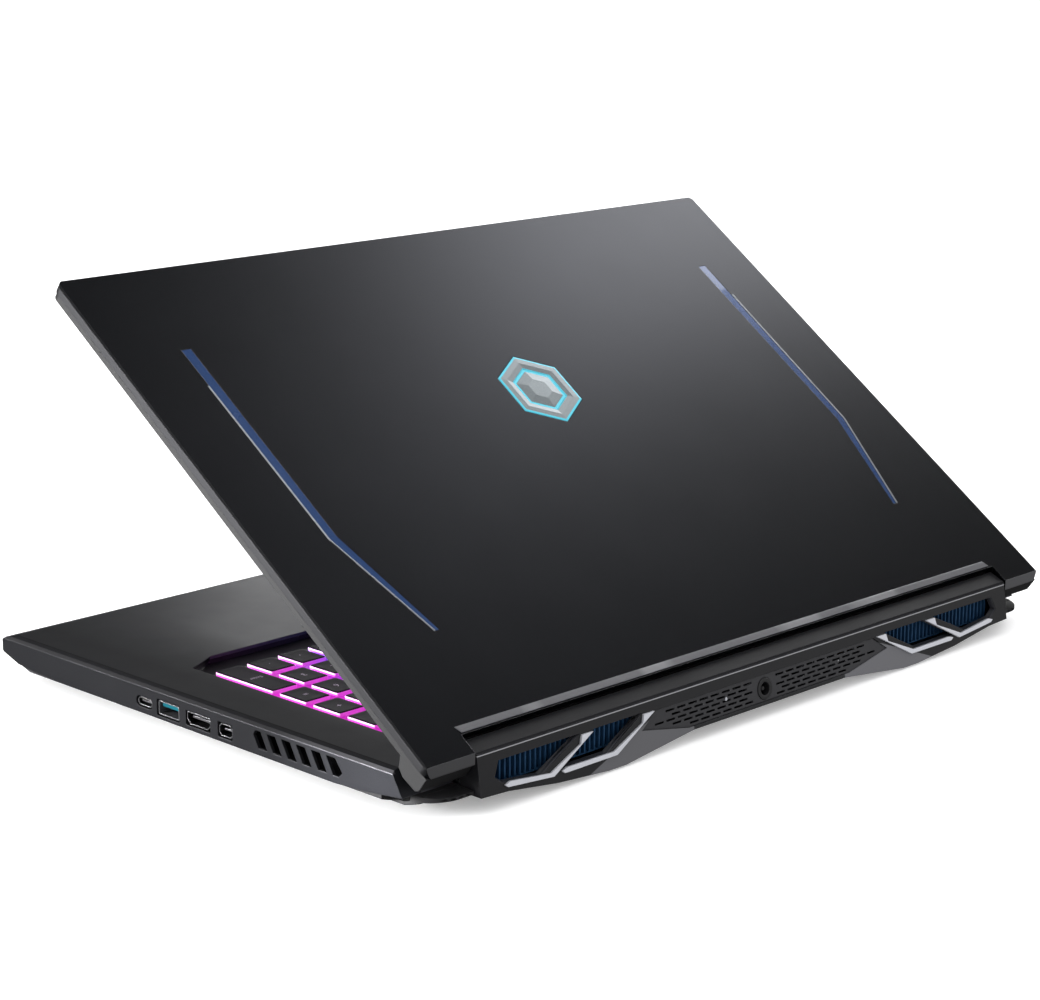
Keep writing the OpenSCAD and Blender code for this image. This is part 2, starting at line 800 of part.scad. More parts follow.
module home_letter_keys() {
    color("#2a2b30") key_run(main_x, 2, concat([1.75], repeat(1, 11)));
}

module enter_key() {
    color("#2a2b30") key(main_x + 12.75 * key_unit, 2, 2.25);
}

module lower_letter_keys() {
    color("#2a2b30") key_run(main_x, 1, concat([2.25], repeat(1, 10), [1.75]));
}

module modifier_keys() {
    color("#2a2b30") {
        key_run(main_x, 0, [1.25, 1, 1, 1.25]);
        key_run(main_x + 10 * key_unit, 0, [1, 1]);
    }
}

module space_bar() {
    color("#2a2b30") key(main_x + 4.5 * key_unit, 0, 5.5);
}

module arrow_keys() {
    color("#2a2b30") {
        key(main_x + 14 * key_unit, 1, 1);
        for (i = [12:14]) key(main_x + i * key_unit, 0, 1);
    }
}

module numpad_keys() {
    color("#2a2b30") for (col = [0:3], row = [0:5])
        if (col < 3 || row > 1) key(pad_x + col * pad_unit, row, 1, pad_unit);
}

module numpad_enter_key() {
    color("#2a2b30") key(pad_x + 3 * pad_unit, 0, 1, pad_unit, 2);
}

// ---------- sockets ----------

module usb_c_socket() {
    color("#b9bbc0") in_right_wall(usb_c_d) {
        sleeve(9, 8.4, 2.6, 0.4, 1.25);
        translate([-8.7, -3.3, -0.35]) cube([7.6, 6.6, 0.7]);
    }
}

module usb_a_core() {
    sleeve(13, 12.5, 5.1, 0.4, 0.4);
    translate([-12.7, -5.6, 0.4]) cube([11.4, 11.2, 1.8]);
}

module usb_a_socket() {
    color("#2a8fa0") in_right_wall(usb_a_d) usb_a_core();
}

module usb_a_sockets_left() {
    color("#2a8fa0") for (d = usb_left_d) in_left_wall(d) usb_a_core();
}

// Side view of the HDMI mouth: wide above, narrower below
module hdmi_mouth(g) {
    polygon([[-7 - g, 2.3 + g], [7 + g, 2.3 + g], [7 + g, -0.6], [5.2 + g * 0.6, -2.2 - g],
        [-5.2 - g * 0.6, -2.2 - g], [-7 - g, -0.6]]);
}

module hdmi_socket() {
    color("#b9a47a") in_right_wall(hdmi_d) {
        difference() {
            along_x(-11, 0) hdmi_mouth(0.4);
            along_x(-10.6, eps) hdmi_mouth(0);
        }
        translate([-10.7, -5.8, -0.2]) cube([9, 11.6, 1]);
    }
}

module mini_dp_socket() {
    color("#8d8f94") in_right_wall(mini_dp_d) {
        difference() {
            along_x(-9, 0) clipped_rect(8.3, 5.3, 1.3);
            along_x(-8.6, eps) clipped_rect(7.5, 4.5, 1.1);
        }
        translate([-8.7, -2.6, -0.4]) cube([7.2, 5.2, 0.8]);
    }
}

module audio_socket() {
    color("#1a1a1c") in_left_wall(audio_d) difference() {
        union() {
            rotate([0, -90, 0]) cylinder(h = 4, r = 3.4);
            translate([-15, -4, -3]) cube([11.4, 8, 6]);
        }
        translate([-14, 0, 0]) rotate([0, 90, 0]) cylinder(h = 15, r = audio_r);
    }
}

module lan_socket() {
    color("#202124") in_left_wall(lan_d, lan_z) difference() {
        translate([-15, -7.3, -3.9]) cube([15, 14.6, 8.4]);
        translate([-13.6, -lan_w / 2, -3.1]) cube([15, lan_w, lan_h]);
        translate([-3, -lan_w / 2 - 0.5, -5]) cube([4, lan_w + 1, 2.3]);
    }
}

// The sprung jaw under the network socket's mouth, with its hinge pin along Y
module lan_jaw() {
    jaw_w = 12.4;
    color("#2b2c30") in_left_wall(lan_d, lan_z) translate([0, -jaw_w / 2, 0]) {
        translate([-1.2, 0, -4.9]) cube([1.5, jaw_w, 2.1]);
        translate([-2, 0, -4.2]) rotate([-90, 0, 0]) cylinder(h = jaw_w, r = 0.5);
        translate([-2, 0, -4.5]) cube([1, jaw_w, 0.5]);
    }
}

module dc_socket() {
    collar_r = 4.6;
    barrel_r = 2.85;
    color("#1c1c1e") on_rear_face_point(jack_x, jack_z) {
        difference() {
            union() {
                translate([0, -1.9, 0]) rotate([-90, 0, 0]) cylinder(h = 1.7, r = collar_r);
                translate([-4.4, -10.2, -4]) cube([8.8, 8.4, 8]);
            }
            translate([0, -9.2, 0]) rotate([-90, 0, 0]) cylinder(h = 12, r = barrel_r);
        }
        translate([0, -9.4, 0]) rotate([-90, 0, 0]) cylinder(h = 8, r = 0.85);
    }
}

// A point on the rear face, given in rear view, with +Y straight out of the face
module on_rear_face_point(x, z) {
    translate([0, fy(face_top[0]), face_top[1]]) rotate([face_tilt, 0, 0])
        translate([x, 0, z - face_top[1]]) children();
}

// ---------- lid ----------

// Plan of the lid, with the notch that clears the hump
module lid_plan(inset = 0) {
    corner = 5;
    low = lid_low + 3.3 - inset;
    high = lid_free + inset;
    x = half_w - inset;
    difference() {
        translate([0, (low + high) / 2])
            rounded_rect(2 * x, low - high, max(corner - inset, 1));
        translate([-notch_x - inset, lid_low - notch_len - inset])
            square([2 * (notch_x + inset), 40]);
    }
}

module lid_cover() {
    rim = 1.4;
    color("#242529") on_lid() difference() {
        intersection() {
            translate([0, 0, lid_seam]) linear_extrude(cover_rim) lid_plan();
            along_x(-half_w, half_w) polygon([[lid_free, lid_seam], [lid_free, lid_out - 0.7],
                [lid_free + 0.7, lid_out], [lid_low, lid_out],
                [lid_low + lid_lean[0], lid_out + lid_lean[1]], [lid_low, lid_seam - 1],
                [lid_free, lid_seam - 1]]);
            along_y(lid_free - 1, 20) polygon([[-half_w, lid_seam - 1],
                [half_w, lid_seam - 1], [half_w, lid_out - 0.7], [half_w - 0.7, lid_out],
                [0.7 - half_w, lid_out], [-half_w, lid_out - 0.7]]);
        }
        translate([0, 0, lid_seam - 1]) linear_extrude(cover_rim - lid_skin + 1)
            lid_cavity(rim);
        translate([0, 0, lid_out - 0.4]) linear_extrude(1) inlay_outline(0);
        translate([0, 0, lid_out - 0.4]) linear_extrude(1) strip_outline();
        translate([0, 0, lid_out - 0.5]) linear_extrude(1) badge_outline(21, 0.3);
        both_sides() translate([notch_x - 1, 0, 0]) rotate([0, 90, 0])
            cylinder(h = 4, r = shaft_r + 0.1);
    }
}

// Plan of the space between the cover's rim walls
module lid_cavity(rim) {
    x = half_w - rim;
    low = lid_low - notch_len - rim;
    translate([-x, lid_free + rim]) square([2 * x, low - lid_free - rim]);
    for (s = [-1, 1]) translate([s > 0 ? notch_x + rim : -x, low - 1])
        square([x - notch_x - rim, lid_low - rim - low + 2]);
}

// Plan of the right accent line, grown by g: a straight run, then a slim bent tail
module accent_line(g) {
    top = lid_low - 221.5;
    bend = lid_low - 111;
    tail = lid_low - 57;
    polygon([[160.4 - g, top - g], [165.4 + g, top - g], [164.6 + g, bend],
        [149.4 + g, tail + g], [147.2 - g, tail + g], [160.4 - g, bend - 1]]);
}

module inlay_outline(g) {
    both_sides() accent_line(g);
}

module accent_inlays() {
    color("#2f4d88") on_lid() translate([0, 0, lid_out - 0.4])
        linear_extrude(0.3) inlay_outline(-0.15);
}

// Plan of the bright strip above the notch
module strip_outline() {
    low = lid_low - 10.1;
    high = lid_low - 13.2;
    polygon([[-170.5, low], [172.6, low], [174, high], [-169, high]]);
}

module lid_strip() {
    color("#9b9ca2") on_lid() translate([0, 0, lid_out - 0.4]) linear_extrude(0.6)
        strip_outline();
}

// Plan of a plain six-sided badge of half height r, grown by g
module badge_outline(r, g) {
    translate([0, badge_y]) rotate([0, 0, 30]) polygon([for (a = [0:60:300])
        (r + g) * [cos(a), sin(a)]]);
}

module lid_badge() {
    color("#b6bdc6") on_lid() {
        translate([0, 0, lid_out - 0.5]) linear_extrude(0.3) badge_outline(21, 0);
        translate([0, 0, lid_out - 0.2]) linear_extrude(0.5) difference() {
            badge_outline(20, 0);
            badge_outline(13, 0);
        }
        translate([0, badge_y, lid_out - 0.2]) linear_extrude(0.5) rotate([0, 0, 30])
            polygon([for (a = [0:60:300]) 8 * [cos(a), sin(a)]]);
    }
}

module screen_bezel() {
    lip = 0.5;
    skin = 1.3;
    color("#1b1c1f") on_lid() difference() {
        union() {
            translate([0, 0, lid_in]) linear_extrude(lid_seam - lid_in) difference() {
                lid_plan(lip);
                translate([-half_w, -11.5]) square([base_w, 30]);
            }
            translate([0, 0, lid_in]) linear_extrude(lid_seam - lid_in)
                translate([-notch_x - 1.5, -13.5]) square([2 * notch_x + 3, 6.9]);
            both_sides() along_x(notch_x + 0.6, half_w - lip) polygon(ear);
        }
        translate([-screen_w / 2, screen_y - screen_h, lid_in - 1])
            cube([screen_w, screen_h, 10]);
        translate([0, 0, lid_in + skin]) linear_extrude(5) bezel_cavity();
        both_sides() box([notch_x - 2, -4.4, -3.4], [188, 4.2, lid_seam + 1]);
        both_sides() box([notch_x + 2, -36, lid_in + skin], [192, 2, lid_seam + 1]);
        translate([0, camera_y, lid_in - 1]) cylinder(h = 4, r = 2.4);
        for (p = bumper_places) translate([p[0], p[1], lid_in - 1]) cylinder(h = 1.6, r = 4);
    }
}

module bezel_cavity() {
    edge = 2.2;
    translate([-half_w + edge, lid_free + edge])
        square([base_w - 2 * edge, lid_len - 13 - 2 * edge]);
}

module display_panel() {
    frame_w = 388;
    frame_h = 226;
    face = lid_in + 1.3;
    color("#0d0e12") on_lid() translate([-frame_w / 2, screen_y - screen_h - 4.5, face + 0.1])
        cube([frame_w, frame_h, 2.8]);
}

module camera_module() {
    color("#101114") on_lid() translate([0, camera_y, 0]) {
        translate([0, 0, lid_in + 0.3]) cylinder(h = 1.1, r = 2.1);
        box([-30, -2.4, lid_in + 1.4], [30, 1.7, lid_in + 2.8]);
    }
}

module bezel_bumpers() {
    color("#1a1a1b") on_lid() for (p = bumper_places)
        translate([p[0], p[1], lid_in - 0.4]) cylinder(h = 1, r = 3.8);
}

module hinge_arm_right() {
    plate_top = lid_out - lid_skin - 0.1;
    color("#8c8e92") on_lid() {
        translate([165.4, 0, 0]) rotate([0, 90, 0]) cylinder(h = 20.6, r = shaft_r);
        difference() {
            union() {
                box([177, -2.6, -1.8], [186, 1.6, plate_top]);
                box([177, -34, plate_top - 1.5], [190, 0, plate_top]);
            }
            for (y = [-14, -27]) translate([183.5, y, -4]) cylinder(h = 12, r = 1.2);
        }
    }
}

module hinge_arm_left() {
    mirror([1, 0, 0]) hinge_arm_right();
}

// ---------- assembly ----------

top_case();
bottom_cover();
keyboard_tray();
hinge_cover();
rear_housing();
rear_grille();
exhaust_trim_right();
exhaust_trim_left();
fin_stack_right();
fin_stack_left();
heat_pipes();
fan_housing_right();
fan_housing_left();
fan_rotor_right();
fan_rotor_left();
mainboard();
cold_plates();
memory_modules();
solid_state_drive();
wireless_card();
battery_pack();
speakers();
touchpad();
power_button();
turbo_button();
hinge_bracket_right();
hinge_bracket_left();
usb_c_socket();
usb_a_socket();
hdmi_socket();
mini_dp_socket();
usb_a_sockets_left();
audio_socket();
lan_socket();
lan_jaw();
dc_socket();
rubber_feet();
bottom_screws();
function_keys();
number_keys();
upper_letter_keys();
home_letter_keys();
lower_letter_keys();
modifier_keys();
space_bar();
enter_key();
arrow_keys();
numpad_keys();
numpad_enter_key();
lid_cover();
screen_bezel();
display_panel();
hinge_arm_right();
hinge_arm_left();
accent_inlays();
lid_badge();
lid_strip();
camera_module();
bezel_bumpers();
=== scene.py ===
"""Looks of a gaming laptop computer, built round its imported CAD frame.

Everything is in metres in the CAD frame: +X to the user's right, +Y to the rear, +Z up.
"""

import json
import math

import bmesh
import bpy
from mathutils import Matrix, Vector


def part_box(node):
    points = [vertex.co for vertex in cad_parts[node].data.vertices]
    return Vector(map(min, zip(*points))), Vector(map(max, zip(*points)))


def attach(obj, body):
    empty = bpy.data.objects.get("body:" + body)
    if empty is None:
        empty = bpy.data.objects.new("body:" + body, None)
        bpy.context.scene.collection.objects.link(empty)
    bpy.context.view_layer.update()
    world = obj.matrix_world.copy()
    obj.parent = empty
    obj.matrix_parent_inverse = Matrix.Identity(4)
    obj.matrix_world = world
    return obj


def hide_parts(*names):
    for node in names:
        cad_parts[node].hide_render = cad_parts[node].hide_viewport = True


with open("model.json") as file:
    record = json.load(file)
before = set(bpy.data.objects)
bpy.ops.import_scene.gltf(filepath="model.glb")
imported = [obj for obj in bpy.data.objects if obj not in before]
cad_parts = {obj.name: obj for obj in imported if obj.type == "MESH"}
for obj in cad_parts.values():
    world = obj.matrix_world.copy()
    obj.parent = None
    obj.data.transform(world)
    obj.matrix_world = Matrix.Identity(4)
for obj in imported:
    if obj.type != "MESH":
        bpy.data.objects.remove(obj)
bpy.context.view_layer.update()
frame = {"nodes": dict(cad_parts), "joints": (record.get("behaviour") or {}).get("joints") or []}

MM = 0.001
scene = bpy.context.scene
scene.view_settings.view_transform = "Standard"
nodes = frame["nodes"]

# ---------- places worked out from the frame ----------

case_low, case_high = (Vector(corner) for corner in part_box("top_case"))
HALF_W = case_high.x
FRONT_Y = case_low.y
lid_joint = next(j for j in frame["joints"] if j["name"] == "lid_hinge")
HINGE = Vector(lid_joint["pos_m"])
LID_OPEN = math.radians(-lid_joint["range_deg"][0])
# Lid coordinates: -Y from the hinge towards the free edge, +Z out of the back
LID = Matrix.Translation(HINGE) @ Matrix.Rotation(-LID_OPEN, 4, "X")
LID_OUT = 5.06 * MM  # height of the lid's back
LID_LOW = 3.06 * MM  # lower edge of the lid
# Rear face of the housing: its top edge, and the angle by which it leans out below
FACE_TOP = Vector((0, FRONT_Y + 270.8 * MM, 23.2 * MM))
FACE_TILT = math.atan(3.3 / 22.4)
REAR = (Matrix.Translation(FACE_TOP) @ Matrix.Rotation(FACE_TILT, 4, "X")
        @ Matrix.Translation((0, 0, -FACE_TOP.z)))


# ---------- camera, floor and lights ----------

def camera_matrix(place, azimuth, elevation, roll):
    """World matrix of a camera that looks back along azimuth and elevation, in degrees."""
    az, el, turn = (math.radians(a) for a in (azimuth, elevation, roll))
    look = Vector((-math.sin(az) * math.cos(el), -math.cos(az) * math.cos(el), -math.sin(el)))
    right = look.cross(Vector((0, 0, 1))).normalized()
    up = right.cross(look)
    tilted_right = right * math.cos(turn) + up * math.sin(turn)
    tilted_up = up * math.cos(turn) - right * math.sin(turn)
    axes = Matrix((tilted_right, tilted_up, -look)).transposed().to_4x4()
    return Matrix.Translation(place) @ axes


def make_camera():
    """The photograph's camera."""
    data = bpy.data.cameras.new("photo_camera")
    data.sensor_fit = "HORIZONTAL"
    data.sensor_width = 36
    data.lens = 92.88
    data.shift_x = -0.0006
    data.shift_y = 0.0028
    data.clip_start = 0.01
    camera = bpy.data.objects.new("photo_camera", data)
    camera.matrix_world = camera_matrix(place=(0.8456, 0.81265, 0.3566), azimuth=45.68,
                                        elevation=13.81, roll=0.32)
    scene.collection.objects.link(camera)
    scene.camera = camera


def softbox(name, place, target, width, height, radiance, spread=180):
    """A rectangular light that faces target; spread is in degrees."""
    data = bpy.data.lights.new(name, "AREA")
    data.shape = "RECTANGLE"
    data.size = width
    data.size_y = height
    data.energy = radiance * 4 * width * height
    data.spread = math.radians(spread)
    lamp = bpy.data.objects.new(name, data)
    lamp.location = place
    lamp.rotation_euler = (Vector(target) - Vector(place)).to_track_quat("-Z", "Y").to_euler()
    lamp.visible_camera = False
    scene.collection.objects.link(lamp)


def make_lights():
    """Softboxes: the first four shape what the photo's view shows, the others fill in."""
    softbox("lid_softbox", place=(-1.702, -0.515, 1.132), target=(-0.16, -0.1, 0.17),
            width=0.678, height=1.158, radiance=2.85)
    softbox("deck_softbox", place=(-0.698, -0.625, 0.19), target=(0.175, -0.307, 0.02),
            width=0.7, height=0.18, radiance=3.6)
    softbox("side_softbox", place=(0.95, -0.50, 0.16), target=(0.199, 0.13, 0.012),
            width=0.4, height=0.3, radiance=5.5, spread=50)
    softbox("rear_softbox", place=(-1.1, 1.25, 0.24), target=(0.0, 0.137, 0.012),
            width=1.2, height=0.42, radiance=1.9)
    softbox("far_softbox", place=(1.702, -0.515, 1.132), target=(0.16, -0.1, 0.17),
            width=0.678, height=1.158, radiance=1.5)
    softbox("top_softbox", place=(0.1, 0.2, 2.0), target=(0, 0, 0),
            width=1.2, height=1.2, radiance=0.8)
    softbox("front_softbox", place=(0.6, -2.0, 1.3), target=(0, 0, 0.1),
            width=1.4, height=0.8, radiance=1.2)
    softbox("edge_softbox", place=(2.0, -0.5, 0.7), target=(0.199, 0.0, 0.1),
            width=0.8, height=0.6, radiance=1.6)


def make_world():
    """White room; gloss sees a dim one, so that the softboxes shape the highlights."""
    room = 1.12
    room_in_gloss = 0.08
    world = bpy.data.worlds.new("studio")
    scene.world = world
    world.use_nodes = True
    tree = world.node_tree
    background = tree.nodes["Background"]
    background.inputs["Color"].default_value = (1, 1, 1, 1)
    path = tree.nodes.new("ShaderNodeLightPath")
    dim = tree.nodes.new("ShaderNodeMath")
    dim.operation = "MULTIPLY_ADD"
    tree.links.new(path.outputs["Is Glossy Ray"], dim.inputs[0])
    dim.inputs[1].default_value = room_in_gloss - room
    dim.inputs[2].default_value = room
    tree.links.new(dim.outputs[0], background.inputs["Strength"])


def make_floor():
    """Plain pale floor that the part stands on."""
    mesh = bpy.data.meshes.new("floor")
    reach = 30.0
    mesh.from_pydata([(-reach, -reach, 0), (reach, -reach, 0), (reach, reach, 0),
                      (-reach, reach, 0)], [], [(0, 1, 2, 3)])
    floor = bpy.data.objects.new("floor", mesh)
    scene.collection.objects.link(floor)
    floor.visible_glossy = False
    floor.visible_diffuse = False
    surface = Surface("floor_paper", (0.93, 0.93, 0.935), 0.9)
    surface.grain(scale=900, tone=0.01, bump=0.02)
    surface.bsdf.inputs["Specular IOR Level"].default_value = 0.05
    surface.glow((1, 1, 1), 0.25)
    surface.dress(floor)


# ---------- materials ----------

class Surface:
    """One procedural material, built round a Principled shader."""

    def __init__(self, name, color, rough, metallic=0.0):
        self.material = bpy.data.materials.new(name)
        self.material.use_nodes = True
        self.tree = self.material.node_tree
        self.bsdf = self.tree.nodes["Principled BSDF"]
        self.color = color
        self.rough = rough
        self.bsdf.inputs["Base Color"].default_value = (*color, 1)
        self.bsdf.inputs["Roughness"].default_value = rough
        self.bsdf.inputs["Metallic"].default_value = metallic
        self.place = self.add("TexCoord").outputs["Object"]

    def add(self, kind, **values):
        node = self.tree.nodes.new("ShaderNode" + kind)
        for key, value in values.items():
            if hasattr(node, key):
                setattr(node, key, value)
            else:
                node.inputs[key.replace("_", " ")].default_value = value
        return node

    def link(self, source, target):
        self.tree.links.new(source, target)

    def math(self, operation, a, b=0.0, c=None):
        node = self.add("Math", operation=operation)
        for socket, value in zip(node.inputs, (a, b, c)):
            if value is None:
                continue
            if isinstance(value, (int, float)):
                socket.default_value = value
            else:
                self.link(value, socket)
        return node.outputs[0]

    def ramp(self, value, low, high, out_low=0.0, out_high=1.0):
        node = self.add("MapRange")
        self.link(value, node.inputs["Value"])
        for name, number in (("From Min", low), ("From Max", high), ("To Min", out_low),
                             ("To Max", out_high)):
            node.inputs[name].default_value = number
        return node.outputs["Result"]

    def mix(self, factor, a, b):
        node = self.add("Mix", data_type="RGBA")
        for socket, value in ((node.inputs[0], factor), (node.inputs[6], a),
                              (node.inputs[7], b)):
            if isinstance(value, tuple):
                socket.default_value = (*value, 1)
            elif isinstance(value, (int, float)):
                socket.default_value = value
            else:
                self.link(value, socket)
        return node.outputs[2]

    def noise(self, scale, detail=4.0, stretch=(1, 1, 1)):
        mapping = self.add("Mapping")
        mapping.inputs["Scale"].default_value = stretch
        self.link(self.place, mapping.inputs["Vector"])
        node = self.add("TexNoise", Scale=scale, Detail=detail, Roughness=0.55)
        self.link(mapping.outputs["Vector"], node.inputs["Vector"])
        return node.outputs["Fac"]

    def axis(self, name):
        """The X, Y or Z of the place on the part, in metres."""
        node = self.add("SeparateXYZ")
        self.link(self.place, node.inputs[0])
        return node.outputs[name]

    def facing(self, name):
        """The X, Y or Z of the surface's own normal, as the part rests."""
        coordinates = self.add("TexCoord")
        node = self.add("SeparateXYZ")
        self.link(coordinates.outputs["Normal"], node.inputs[0])
        return node.outputs[name]

    def grain(self, scale=1800, tone=0.12, bump=0.04, stretch=(1, 1, 1), blotch=0.06,
              edge=0.0, edge_color=None, edge_radius=0.0005):
        """Fine grain in colour and height, faint smudges in gloss, and edges lightened in
        patches, partly as wear and partly as a painted highlight.
        """
        fine = self.noise(scale, 5, stretch)
        dark = tuple(c * (1 - tone) for c in self.color)
        light = tuple(min(1, c * (1 + tone)) for c in self.color)
        color = self.mix(self.ramp(fine, 0.3, 0.7), dark, light)
        smudge = self.noise(28, 3)
        rough = self.ramp(smudge, 0.3, 0.7, self.rough - blotch / 2, self.rough + blotch / 2)
        self.gloss = rough
        self.link(rough, self.bsdf.inputs["Roughness"])
        bevel = self.add("Bevel", samples=4)
        bevel.inputs["Radius"].default_value = edge_radius
        if edge:
            geometry = self.add("NewGeometry")
            dot = self.add("VectorMath", operation="DOT_PRODUCT")
            self.link(bevel.outputs["Normal"], dot.inputs[0])
            self.link(geometry.outputs["Normal"], dot.inputs[1])
            # Edges lightened in patches: partly wear, partly a painted highlight on the rounded
            # edges
            wear_and_highlight = self.ramp(dot.outputs["Value"], 0.995, 0.85, 0, edge)
            wear_and_highlight = self.math("MULTIPLY", wear_and_highlight, self.ramp(self.noise(350, 3), 0.3, 0.7, 0.4, 1))
            color = self.mix(wear_and_highlight, color, edge_color or tuple(min(1, c * 3) for c in self.color))
        self.base = color
        self.link(color, self.bsdf.inputs["Base Color"])
        height = self.add("Bump", Strength=bump, Distance=0.0001)
        self.link(fine, height.inputs["Height"])
        self.link(bevel.outputs["Normal"], height.inputs["Normal"])
        self.link(height.outputs["Normal"], self.bsdf.inputs["Normal"])
        return self

    def tint(self, factor, color):
        """Mixes a colour over the base where factor says."""
        self.base = self.mix(factor, self.base, color)
        self.link(self.base, self.bsdf.inputs["Base Color"])
        return self

    def glow(self, color, strength):
        self.bsdf.inputs["Emission Color"].default_value = (*color, 1)
        self.bsdf.inputs["Emission Strength"].default_value = strength
        return self

    def dress(self, *objects):
        """Gives the material to objects, in place of what they had."""
        for obj in objects:
            obj.data.materials.clear()
            obj.data.materials.append(self.material)


def dress_nodes(surface, *names):
    """Gives the material to CAD nodes."""
    surface.dress(*(nodes[name] for name in names))


def deck_surface():
    """Anodised deck with a dark seam inside its chamfered side edges; painted highlights on the
    chamfers and on the rearward faces of the keyboard's well, painted shade on the walls and
    margins.
    """
    chamfer_w = 1.45 * MM
    chamfer_h = 1.7 * MM
    seam_inset = 3.9 * MM
    seam_half_w = 0.25 * MM
    margin_rough = 0.35
    s = Surface("deck_anodised", (0.042, 0.043, 0.050), 0.42, 0.8)
    s.grain(scale=2600, tone=0.1, bump=0.04, edge=0.7, edge_color=(0.16, 0.16, 0.17))
    across = s.math("ABSOLUTE", s.axis("X"))
    high = s.math("GREATER_THAN", s.axis("Z"), case_high.z - chamfer_h)
    chamfer_highlight = s.math("GREATER_THAN", across, HALF_W - chamfer_w)
    # Painted highlight: the chamfers are tinted lighter
    s.tint(s.math("MULTIPLY", chamfer_highlight, high), (0.13, 0.13, 0.14))
    seam = s.math("COMPARE", across, HALF_W - seam_inset, seam_half_w)
    top = s.math("GREATER_THAN", s.axis("Z"), case_high.z - 0.4 * MM)
    s.tint(s.math("MULTIPLY", seam, top), (0.004, 0.004, 0.004))
    # Painted highlight: the faces of the keyboard's well that look to the rear are tinted lighter
    well = s.math("LESS_THAN", across, HALF_W - 10 * MM)
    rearward_highlight = s.math("GREATER_THAN", s.facing("Y"), 0.3)
    s.tint(s.math("MULTIPLY", well, rearward_highlight), (0.13, 0.13, 0.145))
    # Painted shade: the side walls and chamfers darken towards the front
    wall = s.math("GREATER_THAN", s.math("ABSOLUTE", s.facing("X")), 0.3)
    front_shade = s.ramp(s.axis("Y"), 105 * MM, 45 * MM, 0, 0.8)
    s.tint(s.math("MULTIPLY", wall, front_shade), (0.004, 0.004, 0.005))
    # Painted shade: the deck darkens beside the keys, and it gets rougher there
    level = s.math("GREATER_THAN", s.facing("Z"), 0.9)
    outward_shade = s.ramp(across, 130 * MM, 180 * MM, 0, 0.72)
    margin = s.math("MULTIPLY", level, outward_shade)
    s.tint(margin, (0.007, 0.007, 0.008))
    s.link(s.math("MULTIPLY_ADD", margin, margin_rough, s.gloss), s.bsdf.inputs["Roughness"])
    return s


def lid_surface():
    """Satin metal skin; its cut edges are rougher, with painted shade on the side ones and a
    painted highlight on the lower one.
    """
    side_edge_w = 0.75 * MM
    cut_rough = 0.26
    s = Surface("lid_anodised", (0.0450, 0.0470, 0.0545), 0.262, 1.0)
    s.grain(scale=900, tone=0.05, bump=0.02, stretch=(0.06, 4, 4), blotch=0.012, edge=0.8,
            edge_color=(0.22, 0.22, 0.23), edge_radius=0.0004)
    across = s.math("ABSOLUTE", s.axis("X"))
    shaded_side_edge = s.math("GREATER_THAN", across, HALF_W - side_edge_w)
    # Painted shade: the side edges are tinted darker
    s.tint(shaded_side_edge, (0.030, 0.030, 0.032))
    lit_lower_edge = s.math("GREATER_THAN", s.facing("Y"), 0.9)
    # Painted highlight: the lower edge is tinted lighter
    s.tint(lit_lower_edge, (0.30, 0.30, 0.315))
    cut = s.math("MAXIMUM", lit_lower_edge, shaded_side_edge)
    s.link(s.math("MULTIPLY_ADD", cut, cut_rough, s.gloss), s.bsdf.inputs["Roughness"])
    return s


def housing_surface():
    """Satin plastic, with painted highlights: the skirts beside the grille and the top rim are
    painted lighter.
    """
    grille_half_w = 50 * MM
    skirt_top = 17 * MM
    skirt_slope = 0.37
    skirt_front = 131 * MM
    rim_half_h = 0.22 * MM
    s = Surface("housing_satin", (0.009, 0.009, 0.011), 0.44)
    s.bsdf.inputs["Specular IOR Level"].default_value = 0.4
    s.grain(scale=2600, tone=0.15, bump=0.1, edge=0.5, edge_color=(0.09, 0.09, 0.1))
    across = s.math("ABSOLUTE", s.axis("X"))
    # Painted highlight: the skirts beside the grille are tinted lighter, the left ones more
    under_trim = s.math("MULTIPLY_ADD", across, -skirt_slope, 43.6 * MM)
    below = s.math("LESS_THAN", s.axis("Z"), s.math("MINIMUM", under_trim, skirt_top))
    beside = s.math("GREATER_THAN", across, grille_half_w)
    skirt = s.math("MULTIPLY", below, beside)
    skirt = s.math("MULTIPLY", skirt, s.math("GREATER_THAN", s.axis("Y"), skirt_front))
    s.tint(skirt, (0.085, 0.085, 0.093))
    left = s.math("LESS_THAN", s.axis("X"), 0.0)
    s.tint(s.math("MULTIPLY", skirt, left), (0.105, 0.105, 0.115))
    # Painted highlight: a light line along the top rim of the rear face
    rim = s.math("COMPARE", s.axis("Z"), FACE_TOP.z - 0.15 * MM, rim_half_h)
    rear = s.math("GREATER_THAN", s.axis("Y"), FACE_TOP.y - 0.6 * MM)
    s.tint(s.math("MULTIPLY", rim, rear), (0.26, 0.26, 0.28))
    return s


